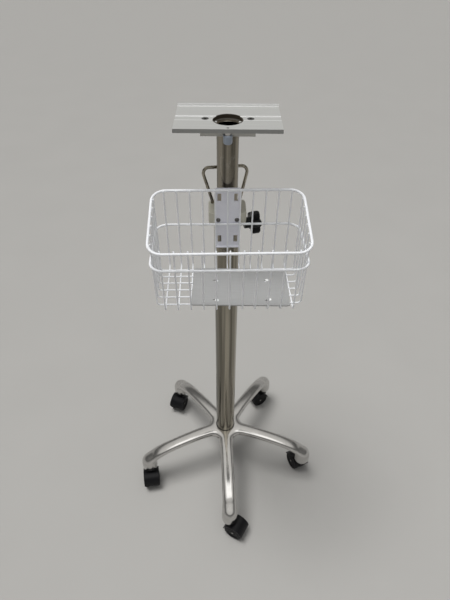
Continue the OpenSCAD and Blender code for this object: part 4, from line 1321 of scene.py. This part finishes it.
class STAND_OT_latch(bpy.types.Operator):
    """Make the sprung latch under the plate"""

    bl_idname = "stand.latch"
    bl_label = "Latch"

    def execute(self, context):
        f = finishes(context)
        dressed("latch_barrel", "latch_barrel_sleeve", "mast", "steel", f["steel"], edge=0.2 * MM)
        dressed("latch_pin", "latch_pin_rod", "latch", "steel", f["steel"], edge=0.3 * MM)
        dressed("latch_knob", "latch_knob_cap", "latch", "latch_grey", f["latch"], edge=0.3 * MM)
        low, high = (Vector(corner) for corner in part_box("latch_spring"))
        middle = (low + high) / 2
        wire, turns, steps = 1.1 * MM, 4, 24
        r = (high.x - low.x - wire) / 2
        path = []
        for i in range(turns * steps + 1):
            a = 2.0 * math.pi * i / steps
            z = low.z + wire / 2 + (high.z - low.z - wire) * i / (turns * steps)
            path.append((middle.x + r * math.cos(a), middle.y + r * math.sin(a), z))
        spring = wires("latch_spring_coil", [path], wire, f["steel"], sides=12)
        carry(spring, "mast", "steel", f["steel"], "latch_spring")
        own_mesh(spring)
        return {"FINISHED"}


class STAND_OT_stage(bpy.types.Operator):
    """Set the studio floor, the light and the camera"""

    bl_idname = "stand.stage"
    bl_label = "Stage"

    aim = (0.0, 0.0, 0.5)
    floor_reach = 30.0
    sky_levels = ((0.0, 0.42), (0.36, 0.41), (0.5, 0.12), (0.64, 0.17), (0.82, 0.72), (1.0, 0.88))
    sky_tint = (1.0, 0.985, 0.95)
    camera_place = (0.0, -0.7497, 1.3077)
    camera_turns = (-0.23, 42.06, -0.35)
    camera_lens = 27.45

    def lamp(self, name, kind, spot, power, **settings):
        """A lamp that looks from its place at the middle of the stand."""
        data = bpy.data.lights.new(name, kind)
        data.energy = power
        for key, value in settings.items():
            setattr(data, key, value)
        obj = bpy.data.objects.new(name, data)
        bpy.context.scene.collection.objects.link(obj)
        obj.location = spot
        obj.rotation_euler = (Vector(self.aim) - Vector(spot)).to_track_quat("-Z", "Y").to_euler()
        return obj

    def execute(self, context):
        scene = context.scene
        tone = scene.stand_finishes.floor
        reach = self.floor_reach
        corners = [(x * reach, y * reach, 0.0) for x, y in ((-1, -1), (1, -1), (1, 1), (-1, 1))]
        floor = mesh_object("studio_floor", corners, [[0, 1, 2, 3]])
        grey = finish("Studio floor", tone, rough=0.7, spread=0.05, scale=4.0, depth=0.015)
        floor.data.materials.append(grey)
        world = bpy.data.worlds.new("Studio")
        world.use_nodes = True
        nodes, link = world.node_tree.nodes, world.node_tree.links.new
        light = nodes["Background"]
        light.inputs["Color"].default_value = (0.98, 0.99, 1.0, 1.0)
        light.inputs["Strength"].default_value = 0.25
        pale = nodes.new("ShaderNodeBackground")
        coord = nodes.new("ShaderNodeTexCoord")
        split = nodes.new("ShaderNodeSeparateXYZ")
        sky = nodes.new("ShaderNodeValToRGB")
        sky.color_ramp.interpolation = "EASE"
        while len(sky.color_ramp.elements) < len(self.sky_levels):
            sky.color_ramp.elements.new(1.0)
        for element, (at, level) in zip(sky.color_ramp.elements, self.sky_levels):
            element.position = at
            element.color = (*(level * tint for tint in self.sky_tint), 1.0)
        link(coord.outputs["Generated"], split.inputs["Vector"])
        link(split.outputs["Z"], sky.inputs["Fac"])
        link(sky.outputs["Color"], pale.inputs["Color"])
        path = nodes.new("ShaderNodeLightPath")
        mix = nodes.new("ShaderNodeMixShader")
        tree = world.node_tree
        seen = calc(tree, "MAXIMUM", path.outputs["Is Camera Ray"], path.outputs["Is Glossy Ray"])
        link(calc(tree, "MAXIMUM", seen, path.outputs["Is Transmission Ray"]), mix.inputs["Fac"])
        link(light.outputs["Background"], mix.inputs[1])
        link(pale.outputs["Background"], mix.inputs[2])
        link(mix.outputs["Shader"], nodes["World Output"].inputs["Surface"])
        scene.world = world
        ceiling = self.lamp(
            "Ceiling", "SUN", spot=(-0.8, 0.15, 3.5), power=2.3, angle=math.radians(28.0)
        )
        ceiling.visible_glossy = False
        self.lamp(
            "Panel", "AREA", spot=(0.1, -0.7, 2.9), power=9.0,
            shape="RECTANGLE", size=2.0, size_y=1.6
        )
        camera = bpy.data.cameras.new("Camera")
        camera.sensor_fit = "VERTICAL"
        camera.sensor_height = 36.0
        camera.lens = self.camera_lens
        obj = bpy.data.objects.new("Camera", camera)
        scene.collection.objects.link(obj)
        yaw, pitch, roll = (math.radians(a) for a in self.camera_turns)
        flat = math.cos(pitch)
        forward = Vector((math.sin(yaw) * flat, math.cos(yaw) * flat, -math.sin(pitch)))
        right = Vector((math.cos(yaw), -math.sin(yaw), 0.0))
        down = forward.cross(right)
        across = math.cos(roll) * right + math.sin(roll) * down
        below = -math.sin(roll) * right + math.cos(roll) * down
        axes = Matrix((across, -below, -forward)).transposed().to_4x4()
        obj.matrix_world = Matrix.Translation(self.camera_place) @ axes
        scene.camera = obj
        scene.view_settings.view_transform = "Standard"
        return {"FINISHED"}


class STAND_PT_panel(bpy.types.Panel):
    """Buttons that make the stand's pieces"""

    bl_idname = "STAND_PT_panel"
    bl_label = "Equipment stand"
    bl_space_type = "VIEW_3D"
    bl_region_type = "UI"
    bl_category = "Stand"

    def draw(self, context):
        for operator in OPERATORS:
            self.layout.operator(operator.bl_idname)


GROUPS = {
    "stand_base": StandBaseSizes,
    "stand_caster": StandCasterSizes,
    "stand_column": StandColumnSizes,
    "stand_basket": StandBasketSizes,
    "stand_plate": StandPlateSizes,
    "stand_finishes": StandFinishes,
}
OPERATORS = (
    STAND_OT_base,
    STAND_OT_casters,
    STAND_OT_column,
    STAND_OT_collar,
    STAND_OT_clamp,
    STAND_OT_handle,
    STAND_OT_basket,
    STAND_OT_bracket,
    STAND_OT_plates,
    STAND_OT_latch,
    STAND_OT_stage,
)


def register():
    for group in GROUPS.values():
        bpy.utils.register_class(group)
    for name, group in GROUPS.items():
        setattr(bpy.types.Scene, name, PointerProperty(type=group))
    for operator in OPERATORS:
        bpy.utils.register_class(operator)
    bpy.utils.register_class(STAND_PT_panel)


def unregister():
    bpy.utils.unregister_class(STAND_PT_panel)
    for operator in reversed(OPERATORS):
        bpy.utils.unregister_class(operator)
    for name in GROUPS:
        delattr(bpy.types.Scene, name)
    for group in reversed(list(GROUPS.values())):
        bpy.utils.unregister_class(group)


def main():
    register()
    bpy.ops.stand.base()
    bpy.ops.stand.casters()
    bpy.ops.stand.column()
    bpy.ops.stand.collar()
    bpy.ops.stand.clamp()
    bpy.ops.stand.handle()
    bpy.ops.stand.basket()
    bpy.ops.stand.bracket()
    bpy.ops.stand.plates()
    bpy.ops.stand.latch()
    bpy.ops.stand.stage()


if __name__ == "__main__":
    main()
